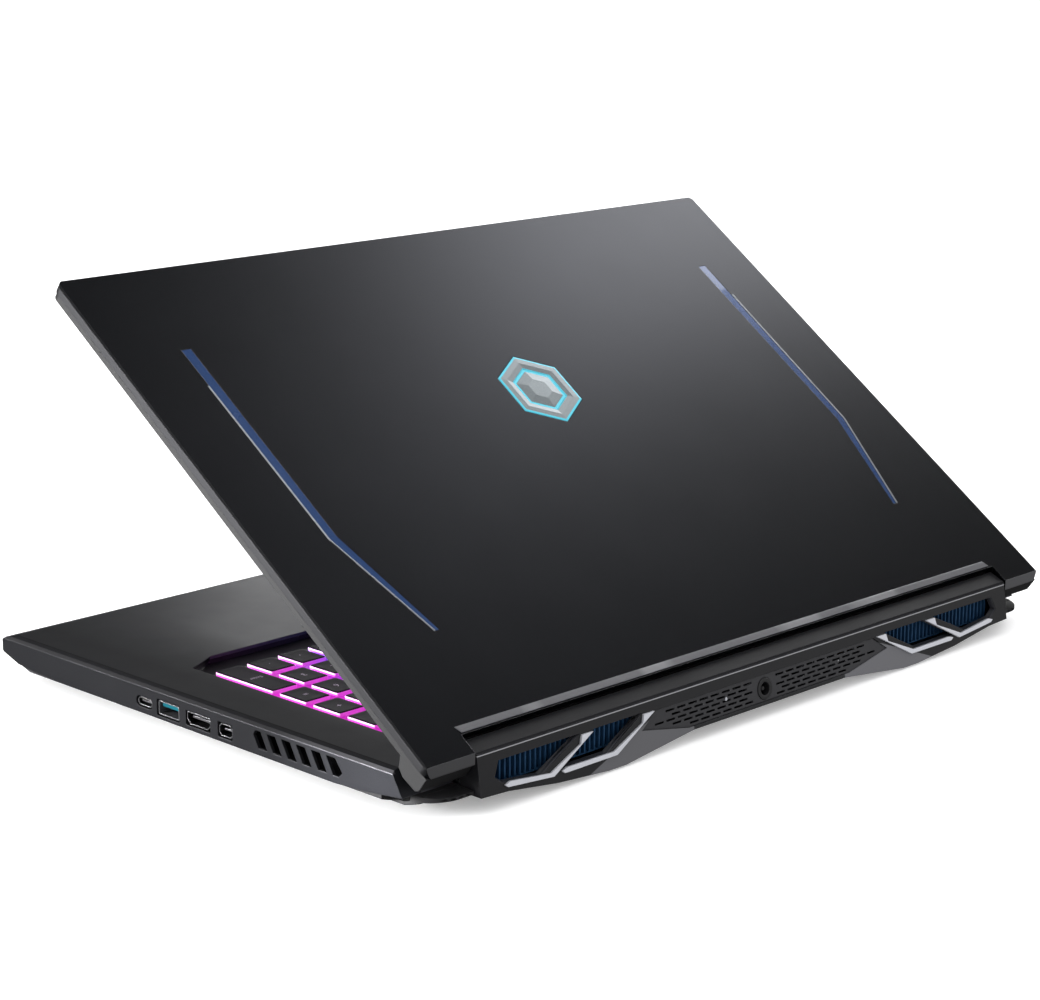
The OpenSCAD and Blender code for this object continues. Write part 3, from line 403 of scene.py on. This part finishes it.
def finish_case():
    """Materials of the case, its rear and what shows through the exhausts."""
    dress_nodes(deck_surface(), "top_case")
    dress_nodes(housing_surface(), "rear_housing")
    s = Surface("cover_textured", (0.016, 0.016, 0.018), 0.62)
    s.grain(scale=3200, tone=0.25, bump=0.35, edge=0.3)
    dress_nodes(s, "bottom_cover", "fan_housing_right", "fan_housing_left", "speakers")
    s = Surface("hump_satin", (0.010, 0.010, 0.012), 0.5)
    s.bsdf.inputs["Specular IOR Level"].default_value = 0.16
    s.grain(scale=2400, tone=0.12, bump=0.06, edge=0.8, edge_color=(0.16, 0.16, 0.17),
            edge_radius=0.0003)
    dress_nodes(s, "hinge_cover")
    s = Surface("grille_plastic", (0.022, 0.022, 0.026), 0.5)
    s.grain(scale=2600, tone=0.15, bump=0.12, edge=0.5, edge_color=(0.09, 0.09, 0.1))
    dress_nodes(s, "rear_grille")
    s = Surface("trim_bright", (0.60, 0.61, 0.66), 0.3, 0.35)
    s.grain(scale=1500, tone=0.04, bump=0.03, blotch=0.08, edge=0.4,
            edge_color=(0.95, 0.95, 1), edge_radius=0.0003)
    dress_nodes(s, "exhaust_trim_right", "exhaust_trim_left")
    s = Surface("fin_blue", (0.025, 0.085, 0.19), 0.36, 0.6)
    s.grain(scale=1400, tone=0.2, bump=0.05, stretch=(1, 1, 0.2), edge=0.5,
            edge_color=(0.10, 0.24, 0.42), edge_radius=0.0002)
    dress_nodes(s, "fin_stack_right", "fin_stack_left")
    s = Surface("foot_rubber", (0.012, 0.012, 0.012), 0.85)
    s.grain(scale=1500, tone=0.3, bump=0.4, stretch=(3, 0.2, 1))
    dress_nodes(s, "rubber_feet", "bezel_bumpers")
    s = Surface("screw_black", (0.06, 0.06, 0.065), 0.35, 1.0)
    s.grain(scale=900, tone=0.2, bump=0.06, edge=0.6, edge_color=(0.4, 0.4, 0.42),
            edge_radius=0.0002)
    dress_nodes(s, "bottom_screws")


def finish_inside():
    """Materials of the parts closed inside the base and the lid."""
    s = Surface("copper_bare", (0.70, 0.30, 0.14), 0.3, 1.0)
    s.grain(scale=600, tone=0.15, bump=0.03, blotch=0.15, edge=0.3)
    s.tint(s.ramp(s.noise(90, 4), 0.5, 0.75, 0, 0.6), (0.32, 0.12, 0.06))
    dress_nodes(s, "heat_pipes", "cold_plates")
    s = Surface("rotor_plastic", (0.022, 0.023, 0.028), 0.4)
    s.grain(scale=2400, tone=0.15, bump=0.06, edge=0.3)
    dress_nodes(s, "fan_rotor_right", "fan_rotor_left")
    dress_nodes(board_surface(), "mainboard", "memory_modules", "wireless_card",
                "solid_state_drive")
    s = Surface("battery_film", (0.012, 0.012, 0.014), 0.32)
    s.grain(scale=60, tone=0.2, bump=0.2, stretch=(1, 3, 1), blotch=0.2)
    dress_nodes(s, "battery_pack")
    s = Surface("hinge_steel", (0.42, 0.42, 0.44), 0.34, 1.0)
    s.grain(scale=700, tone=0.12, bump=0.05, stretch=(0.1, 2, 2), edge=0.4)
    dress_nodes(s, "hinge_bracket_right", "hinge_bracket_left", "hinge_arm_right",
                "hinge_arm_left")


def finish_controls():
    """Materials of the touchpad, the buttons and the keyboard's tray."""
    s = Surface("touchpad_satin", (0.020, 0.020, 0.023), 0.33)
    s.grain(scale=4200, tone=0.08, bump=0.03, edge=0.9, edge_color=(0.16, 0.17, 0.2),
            edge_radius=0.0004)
    dress_nodes(s, "touchpad")
    s = Surface("button_satin", (0.030, 0.030, 0.034), 0.34)
    s.grain(scale=3600, tone=0.1, bump=0.05, edge=0.9, edge_color=(0.2, 0.21, 0.24))
    dress_nodes(s, "power_button", "turbo_button")
    dress_nodes(tray_surface(), "keyboard_tray")


def finish_sockets():
    """Materials of the sockets: plated, plated with a tongue, or black."""
    s = Surface("plated_shell", (0.20, 0.20, 0.21), 0.30, 1.0)
    s.grain(scale=1600, tone=0.1, bump=0.04, edge=0.6, edge_color=(0.5, 0.5, 0.52),
            edge_radius=0.0002)
    dress_nodes(s, "usb_c_socket", "mini_dp_socket", "hdmi_socket")
    dress_nodes(usb_surface(), "usb_a_socket", "usb_a_sockets_left")
    s = Surface("socket_black", (0.010, 0.010, 0.011), 0.35)
    s.grain(scale=2600, tone=0.2, bump=0.1, edge=0.4, edge_color=(0.08, 0.08, 0.085))
    dress_nodes(s, "audio_socket", "lan_socket", "lan_jaw", "dc_socket")


def finish_lid():
    """Materials of the lid's cover, its screen side and its inlays."""
    dress_nodes(lid_surface(), "lid_cover")
    s = Surface("bezel_textured", (0.011, 0.011, 0.012), 0.55)
    s.bsdf.inputs["Specular IOR Level"].default_value = 0.3
    s.grain(scale=3800, tone=0.3, bump=0.3, edge=0.4, edge_color=(0.06, 0.06, 0.065))
    dress_nodes(s, "screen_bezel")
    dress_nodes(screen_surface(), "display_panel")
    s = Surface("inlay_lacquer", (0.017, 0.052, 0.165), 0.25, 0.3)
    s.grain(scale=1200, tone=0.15, bump=0.02, edge=0.5, edge_color=(0.06, 0.14, 0.32),
            edge_radius=0.0003)
    s.bsdf.inputs["Coat Weight"].default_value = 0.6
    dress_nodes(s, "accent_inlays")
    s = Surface("strip_satin", (0.30, 0.30, 0.32), 0.33, 0.8)
    s.grain(scale=900, tone=0.06, bump=0.03, stretch=(0.05, 4, 4))
    # Painted reflection: lighter patches along the strip
    s.tint(s.ramp(s.noise(26, 1, (1, 0.1, 0.1)), 0.54, 0.60, 0, 0.55), (0.62, 0.62, 0.65))
    dress_nodes(s, "lid_strip")
    s = Surface("lens_black", (0.004, 0.004, 0.006), 0.08)
    s.grain(scale=1200, tone=0.3, bump=0.01, blotch=0.04)
    s.bsdf.inputs["Coat Weight"].default_value = 1.0
    dress_nodes(s, "camera_module")


def board_surface():
    """Solder mask with traces, gold pads and black chips."""
    board_top = 6.3 * MM
    s = Surface("board_mask", (0.008, 0.055, 0.035), 0.34)
    s.grain(scale=1500, tone=0.2, bump=0.05)
    cells = s.add("TexVoronoi", Scale=260.0)
    cells.distance = "MANHATTAN"
    s.link(s.place, cells.inputs["Vector"])
    s.tint(s.ramp(cells.outputs["Distance"], 0.1, 0.06, 0, 0.8), (0.5, 0.32, 0.08))
    wave = s.add("TexWave", Scale=110.0, Distortion=6.0, Detail=1.0)
    s.link(s.place, wave.inputs["Vector"])
    s.tint(s.ramp(wave.outputs["Fac"], 0.86, 0.95, 0, 0.5), (0.02, 0.12, 0.08))
    raised = s.math("GREATER_THAN", s.axis("Z"), board_top)
    s.tint(s.math("MULTIPLY", raised, 0.9), (0.014, 0.014, 0.016))
    return s


def usb_surface():
    """Plated shell round a teal tongue."""
    tongue_up = 1.3 * MM
    tongue_half_t = 1.0 * MM
    tongue_half_w = 5.7 * MM
    s = Surface("usb_shell", (0.17, 0.17, 0.18), 0.32, 0.8)
    s.grain(scale=1600, tone=0.1, bump=0.04, edge=0.5, edge_color=(0.45, 0.45, 0.47),
            edge_radius=0.0002)
    low, high = (Vector(corner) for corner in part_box("usb_a_socket"))
    middle = (low + high) / 2
    tongue = s.math("COMPARE", s.axis("Z"), middle.z + tongue_up, tongue_half_t)
    inside = s.math("COMPARE", s.axis("Y"), middle.y, tongue_half_w)
    s.tint(s.math("MULTIPLY", tongue, inside), (0.012, 0.17, 0.22))
    return s


def screen_surface():
    """Unlit screen: near black, low gloss, with a faint grid of picture elements."""
    s = Surface("screen_unlit", (0.0045, 0.0045, 0.006), 0.22)
    s.grain(scale=5000, tone=0.2, bump=0.015, blotch=0.03)
    grid = s.add("TexChecker", Scale=2600.0)
    s.link(s.place, grid.inputs["Vector"])
    s.tint(s.math("MULTIPLY", grid.outputs["Fac"], 0.25), (0.010, 0.011, 0.014))
    s.bsdf.inputs["Coat Weight"].default_value = 0.3
    return s


def zone_color(s):
    """Colour of the keyboard's light, left to right: blue, violet and magenta."""
    keys_half_w = 170 * MM
    ramp = s.add("ValToRGB")
    stops = ramp.color_ramp.elements
    colors = ((0.0, (0.02, 0.45, 0.9)), (0.45, (0.03, 0.28, 1.0)), (0.78, (0.09, 0.14, 1.0)),
              (0.845, (0.34, 0.06, 0.95)), (0.9, (0.72, 0.03, 0.70)), (1.0, (0.82, 0.03, 0.66)))
    while len(stops) < len(colors):
        stops.new(0.5)
    for stop, (position, color) in zip(stops, colors):
        stop.position = position
        stop.color = (*color, 1)
    s.link(s.ramp(s.axis("X"), -keys_half_w, keys_half_w), ramp.inputs["Fac"])
    return ramp.outputs["Color"]


def tray_surface():
    """Glossy tray under the caps, lit from below with soft uneven light."""
    glow_end = 3.4 * MM
    glow_full = 0.6 * MM
    s = Surface("tray_lit", (0.012, 0.010, 0.014), 0.34)
    s.grain(scale=1800, tone=0.2, bump=0.05)
    s.link(zone_color(s), s.bsdf.inputs["Emission Color"])
    low = Vector(map(min, *(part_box(name)[0] for name in KEY_NODES)))
    high = Vector(map(max, *(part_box(name)[1] for name in KEY_NODES)))
    lit = s.math("GREATER_THAN", s.facing("Z"), 0.5)
    for axis, a, b in (("X", low.x, high.x), ("Y", low.y, high.y)):
        off_middle = s.math("ABSOLUTE", s.math("SUBTRACT", s.axis(axis), (a + b) / 2))
        past_keys = s.math("SUBTRACT", off_middle, (b - a) / 2)
        lit = s.math("MULTIPLY", lit, s.ramp(past_keys, glow_end, glow_full))
    uneven = s.ramp(s.noise(70, 2), 0.3, 0.7, 0.5, 0.95)
    s.link(s.math("MULTIPLY", lit, uneven), s.bsdf.inputs["Emission Strength"])
    return s


# ---------- mesh helpers ----------

def finish_piece(name, bm, body, surfaces, smooth=False):
    """Turns a bmesh into a piece that rides on a body."""
    bmesh.ops.remove_doubles(bm, verts=bm.verts, dist=1e-7)
    bmesh.ops.recalc_face_normals(bm, faces=bm.faces)
    mesh = bpy.data.meshes.new(name)
    bm.to_mesh(mesh)
    bm.free()
    for surface in surfaces:
        mesh.materials.append(surface.material)
    if smooth:
        mesh.shade_smooth()
        mesh.set_sharp_from_angle(angle=math.radians(35))
    piece = bpy.data.objects.new(name, mesh)
    scene.collection.objects.link(piece)
    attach(piece, body)
    return piece


def rounded_loop(center, w, d, r, z, steps=5):
    """Points of a rectangle with round corners, counter-clockwise, at height z."""
    points = []
    for corner, (sx, sy) in enumerate(((1, 1), (-1, 1), (-1, -1), (1, -1))):
        for i in range(steps + 1):
            a = math.radians(90 * corner + 90 * i / steps)
            points.append(Vector((center[0] + sx * (w / 2 - r) + r * math.cos(a),
                                  center[1] + sy * (d / 2 - r) + r * math.sin(a), z)))
    return points


def skin_loops(bm, loops, close_start=True, close_end=True, slots=None):
    """Skins a stack of equal loops; slots gives the material of each band."""
    rings = [[bm.verts.new(p) for p in loop] for loop in loops]
    for band, (low, high) in enumerate(zip(rings, rings[1:])):
        for i in range(len(low)):
            j = (i + 1) % len(low)
            face = bm.faces.new((low[i], low[j], high[j], high[i]))
            face.material_index = slots[band] if slots else 0
    if close_start:
        bm.faces.new(list(reversed(rings[0])))
    if close_end:
        face = bm.faces.new(rings[-1])
        face.material_index = slots[-1] if slots else 0


def island_boxes(obj):
    """Lowest and highest corners of each separate solid of a node, left to right."""
    bm = bmesh.new()
    bm.from_mesh(obj.data)
    bmesh.ops.remove_doubles(bm, verts=bm.verts, dist=1e-6)
    seen = set()
    boxes = []
    for start in bm.verts:
        if start in seen:
            continue
        seen.add(start)
        stack = [start]
        points = []
        while stack:
            vert = stack.pop()
            points.append(vert.co.copy())
            for edge in vert.link_edges:
                other = edge.other_vert(vert)
                if other not in seen:
                    seen.add(other)
                    stack.append(other)
        low = Vector(min(p[k] for p in points) for k in range(3))
        high = Vector(max(p[k] for p in points) for k in range(3))
        boxes.append((low, high))
    bm.free()
    return sorted(boxes, key=lambda b: (round(b[0].x, 4), b[0].y))


# ---------- keyboard ----------

ROWS = {
    "function_keys": "Esc F1 F2 F3 F4 F5 F6 F7 F8 F9 F10 F11 F12 Prt Del",
    "number_keys": "` 1 2 3 4 5 6 7 8 9 0 - = Back",
    "upper_letter_keys": "Tab Q W E R T Y U I O P [ ] \\",
    "home_letter_keys": "Caps A S D F G H J K L ; '",
    "lower_letter_keys": "Shift Z X C V B N M , . / Shift",
    "modifier_keys": "Ctrl Fn Alt Menu Alt Ctrl",
    "enter_key": "Enter",
    "numpad_enter_key": "Enter",
}
KEY_NODES = [*ROWS, "space_bar", "arrow_keys", "numpad_keys"]
ARROWS = "< v ^ >"
NUMPAD = ("0 1 4 7 Num Home", ", 2 5 8 / PgUp", ". 3 6 9 * PgDn", "= + - End")
# From the foot of a cap to the middle of its dish: share of the height, then inset and
# corner radius in mm. The first bands are the clear skirt.
CAP_LEVELS = ((0.0, 0.15, 0.7), (0.12, 0.0, 0.8), (0.78, 0.0, 0.8), (0.82, 0.12, 0.9),
              (0.91, 0.24, 1.0), (0.97, 0.42, 1.1), (1.0, 0.75, 1.2), (0.965, 1.9, 1.3),
              (0.93, 3.6, 1.1))
SKIRT_BANDS = 3
DISH_SHARE = 0.93
LETTER_SIZE = 4.6 * MM
WORD_SIZE = 2.9 * MM
LEGEND_LIFT = 0.03 * MM


def cap_top_surface():
    """Matt black crown of a cap, with edges that catch some of the light."""
    s = Surface("cap_matt", (0.007, 0.0055, 0.0095), 0.55)
    s.bsdf.inputs["Specular IOR Level"].default_value = 0.08
    s.grain(scale=4200, tone=0.2, bump=0.12, edge=0.5, edge_color=(0.10, 0.05, 0.11),
            edge_radius=0.0003)
    return s


def cap_skirt_surface():
    """Clear skirt of a cap: pale high on its left and right, deeper in colour elsewhere."""
    s = Surface("cap_skirt_lit", (0.5, 0.3, 0.5), 0.35)
    s.grain(scale=2500, tone=0.05, bump=0.03)
    sideways = s.ramp(s.math("ABSOLUTE", s.facing("X")), 0.4, 0.9)
    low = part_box("number_keys")[0][2]
    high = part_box("number_keys")[1][2]
    pale = s.mix(0.72, zone_color(s), (1.0, 0.80, 1.0))
    upper = s.ramp(s.axis("Z"), low + 0.36 * (high - low), low + 0.5 * (high - low))
    color = s.mix(s.math("MULTIPLY", sideways, upper), zone_color(s), pale)
    s.link(color, s.bsdf.inputs["Emission Color"])
    bright = s.math("ADD", s.math("MULTIPLY", sideways, 0.75), 0.55)
    fade = s.ramp(s.axis("Z"), low, high, 0.8, 1.25)
    s.link(s.math("MULTIPLY", bright, fade), s.bsdf.inputs["Emission Strength"])
    return s


def legend_surface():
    """Lettering that is dimly lit from below."""
    s = Surface("legend_lit", (0.22, 0.18, 0.24), 0.5)
    s.grain(scale=3000, tone=0.1, bump=0.02)
    s.glow((0.80, 0.55, 0.88), 0.09)
    return s


def add_cap(bm, low, high):
    """One cap: a clear skirt, a matt crown with round edges and a shallow dish on top."""
    center = ((low.x + high.x) / 2, (low.y + high.y) / 2)
    w = high.x - low.x
    d = high.y - low.y
    h = high.z - low.z
    loops = []
    for share, inset, radius in CAP_LEVELS:
        inset = min(inset * MM, min(w, d) / 2 - 0.6 * MM)
        radius = min(radius * MM, min(w, d) / 2 - inset - 0.05 * MM)
        loops.append(rounded_loop(center, w - 2 * inset, d - 2 * inset, radius,
                                  low.z + share * h))
    bands = len(CAP_LEVELS) - 1
    skin_loops(bm, loops, slots=[0 if band < SKIRT_BANDS else 1 for band in range(bands)])


def add_legend(bm, text, center, z, size):
    """Adds a legend as a thin raised mesh, centred over a cap."""
    curve = bpy.data.curves.new("legend", "FONT")
    curve.body = text
    curve.size = size
    curve.align_x = "CENTER"
    curve.align_y = "CENTER"
    curve.resolution_u = 2
    curve.extrude = 0.01 * MM
    holder = bpy.data.objects.new("legend", curve)
    scene.collection.objects.link(holder)
    bpy.context.view_layer.update()
    mesh = bpy.data.meshes.new_from_object(holder)
    mesh.transform(Matrix.Translation((center[0], center[1], z)))
    bm.from_mesh(mesh)
    bpy.data.objects.remove(holder)
    bpy.data.curves.remove(curve)
    bpy.data.meshes.remove(mesh)


def key_labels(name, boxes):
    """The legend of each cap, in the order of the boxes."""
    if name == "space_bar":
        return [""]
    if name == "arrow_keys":
        return ARROWS.split()
    if name == "numpad_keys":
        return [word for column in NUMPAD for word in column.split()]
    words = ROWS[name].split()
    return words + [""] * (len(boxes) - len(words))


def make_keys():
    """Makes each key group's caps again over the CAD caps, and their legends."""
    crown = cap_top_surface()
    skirt = cap_skirt_surface()
    legend = legend_surface()
    for name in KEY_NODES:
        boxes = island_boxes(nodes[name])
        caps = bmesh.new()
        marks = bmesh.new()
        for (low, high), text in zip(boxes, key_labels(name, boxes)):
            add_cap(caps, low, high)
            if text:
                size = LETTER_SIZE if len(text) == 1 else WORD_SIZE
                center = ((low.x + high.x) / 2, (low.y + high.y) / 2)
                z = low.z + DISH_SHARE * (high.z - low.z) + LEGEND_LIFT
                add_legend(marks, text, center, z, size)
        piece = finish_piece(name + "_caps", caps, name, (skirt, crown), True)
        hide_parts(name)
        if marks.verts:
            finish_piece(name + "_legends", marks, name, (legend,))
        else:
            marks.free()


# ---------- lid details ----------

def hexagon(radius, z, center_y):
    """Six points on the lid's back, in world coordinates."""
    return [LID @ Vector((radius * math.cos(math.radians(30 + 60 * i)),
                          center_y + radius * math.sin(math.radians(30 + 60 * i)), z))
            for i in range(6)]


def make_badge():
    """Plain six-sided badge: a lit rim, a bevelled ring and a faceted middle."""
    metal = Surface("badge_metal", (0.30, 0.335, 0.355), 0.36, 0.6)
    metal.grain(scale=1400, tone=0.08, bump=0.02, blotch=0.03, edge_radius=0.0002)
    rim = Surface("badge_rim_lit", (0.05, 0.4, 0.5), 0.3)
    rim.grain(scale=1600, tone=0.1, bump=0.02)
    rim.glow((0.10, 0.50, 0.66), 0.32)
    y = LID_LOW - 165 * MM
    floor_z = LID_OUT - 0.48 * MM
    top = LID_OUT + 0.2 * MM
    bm = bmesh.new()
    # From the outside in: radius in mm, height, and 0 for the lit rim or 1 for metal
    rings = ((20.9, floor_z, 0), (20.9, top - 0.1 * MM, 0), (19.7, top, 0), (19.4, top, 1),
             (16.6, top + 0.1 * MM, 1), (13.6, top - 0.25 * MM, 1), (13.2, floor_z + 0.1 * MM, 0),
             (11.6, floor_z + 0.1 * MM, 0), (11.2, top - 0.5 * MM, 1), (6.0, top + 0.1 * MM, 1))
    loops = [hexagon(radius * MM, z, y) for radius, z, _ in rings]
    skin_loops(bm, loops, slots=[kind for _, _, kind in rings[1:]])
    piece = finish_piece("badge_gem", bm, "lid", (rim, metal))
    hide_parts("lid_badge")


def ribbon(bm, path, width, z, height):
    """A flat bar that follows a path on the lid's back, with a sloping far edge."""
    left = []
    right = []
    for i, point in enumerate(path):
        before = path[max(i - 1, 0)]
        after = path[min(i + 1, len(path) - 1)]
        run = (Vector(after) - Vector(before)).normalized()
        side = Vector((-run.y, run.x))
        left.append(Vector(point) + side * width / 2)
        right.append(Vector(point) - side * width / 2)
    loops = []
    for a, b in zip(left, right):
        inner = a.lerp(b, 0.35)
        loops.append([LID @ Vector((a.x, a.y, z)), LID @ Vector((b.x, b.y, z)),
                      LID @ Vector((b.x, b.y, z + height * 0.4)),
                      LID @ Vector((inner.x, inner.y, z + height)),
                      LID @ Vector((a.x, a.y, z + height))])
    skin_loops(bm, loops)


def make_inlay_edges():
    """Thin bright bars along the outer edge of each accent line."""
    metal = Surface("inlay_edge_metal", (0.42, 0.44, 0.47), 0.3, 0.85)
    metal.grain(scale=1200, tone=0.08, bump=0.02)
    bar_w = 0.75 * MM
    bar_h = 0.25 * MM
    top = LID_LOW - 200 * MM
    bend = LID_LOW - 111.3 * MM
    tail = LID_LOW - 57 * MM
    for side, name in ((1, "inlay_edge_right"), (-1, "inlay_edge_left")):
        path = [(side * 165.75 * MM, top), (side * 165.1 * MM, bend),
                (side * 149.8 * MM, tail)]
        bm = bmesh.new()
        ribbon(bm, path, bar_w, LID_OUT - 0.1 * MM, bar_h)
        finish_piece(name, bm, "lid", (metal,))


# ---------- rear details ----------

# Corners of the right exhaust openings on the rear face, x and z in mm
INNER_WINDOW = ((79.6, 19.2), (108.4, 19.2), (131.4, 7.6), (102.4, 7.4))
OUTER_WINDOW = ((115.8, 19.2), (161.6, 19.2), (164.4, 13), (160, 9.9), (139.6, 7.9))
# Loops of a liner, out along its outside and back along its inside: depth in mm, share
# of the opening's size, lift in mm
LINER = ((-0.25, 0.992, 0), (-1.3, 0.96, 0), (-2.6, 0.9, 0.5), (-2.6, 0.93, 0.5),
         (-1.3, 0.99, 0), (-0.25, 1.0, 0))


def make_ducts():
    """Sloping liners from the exhaust openings in to the fins."""
    s = Surface("duct_satin", (0.020, 0.021, 0.026), 0.36)
    s.grain(scale=2200, tone=0.12, bump=0.05, edge=0.4, edge_color=(0.1, 0.1, 0.12))
    for side, word in ((1, "right"), (-1, "left")):
        for outline, place in ((INNER_WINDOW, "inner"), (OUTER_WINDOW, "outer")):
            middle = Vector((sum(p[0] for p in outline) / len(outline),
                             sum(p[1] for p in outline) / len(outline)))
            loops = []
            for depth, shrink, lift in LINER:
                loop = []
                for x, z in outline:
                    x = middle.x + (x - middle.x) * (1 - (1 - shrink) * 0.5)
                    z = middle.y + (z - middle.y) * shrink + lift
                    loop.append(REAR @ Vector((side * x * MM, depth * MM, z * MM)))
                loops.append(loop)
            bm = bmesh.new()
            skin_loops(bm, loops + [loops[0]], close_start=False, close_end=False)
            finish_piece(f"duct_{place}_{word}", bm, "base", (s,))


# Radius and depth in mm of a small domed mark, rim to middle
DOME = ((0.85, -1.2), (0.85, -0.75), (0.7, -0.6), (0.4, -0.52), (0.12, -0.5))


def make_rear_marks():
    """Charge light and screw in the grille."""
    mark_z = 13.2
    sides = 24
    lit = Surface("charge_light", (0.30, 0.31, 0.34), 0.3)
    lit.grain(scale=2000, tone=0.05, bump=0.02)
    lit.glow((0.9, 0.93, 1.0), 0.06)
    steel = Surface("grille_screw_steel", (0.35, 0.35, 0.37), 0.3, 1.0)
    steel.grain(scale=1500, tone=0.15, bump=0.05)
    for x, name, surface in ((28, "charge_light", lit), (-47, "grille_screw", steel)):
        bm = bmesh.new()
        loops = []
        for radius, depth in DOME:
            loops.append([REAR @ Vector(((x + radius * math.cos(a)) * MM, depth * MM,
                                         (mark_z + radius * math.sin(a)) * MM))
                          for a in (math.tau * i / sides for i in range(sides))])
        skin_loops(bm, loops)
        finish_piece(name, bm, "base", (surface,), True)


# ---------- build ----------

make_camera()
make_world()
make_floor()
finish_case()
finish_inside()
finish_controls()
finish_sockets()
finish_lid()
make_keys()
make_badge()
make_inlay_edges()
make_ducts()
make_rear_marks()
make_lights()
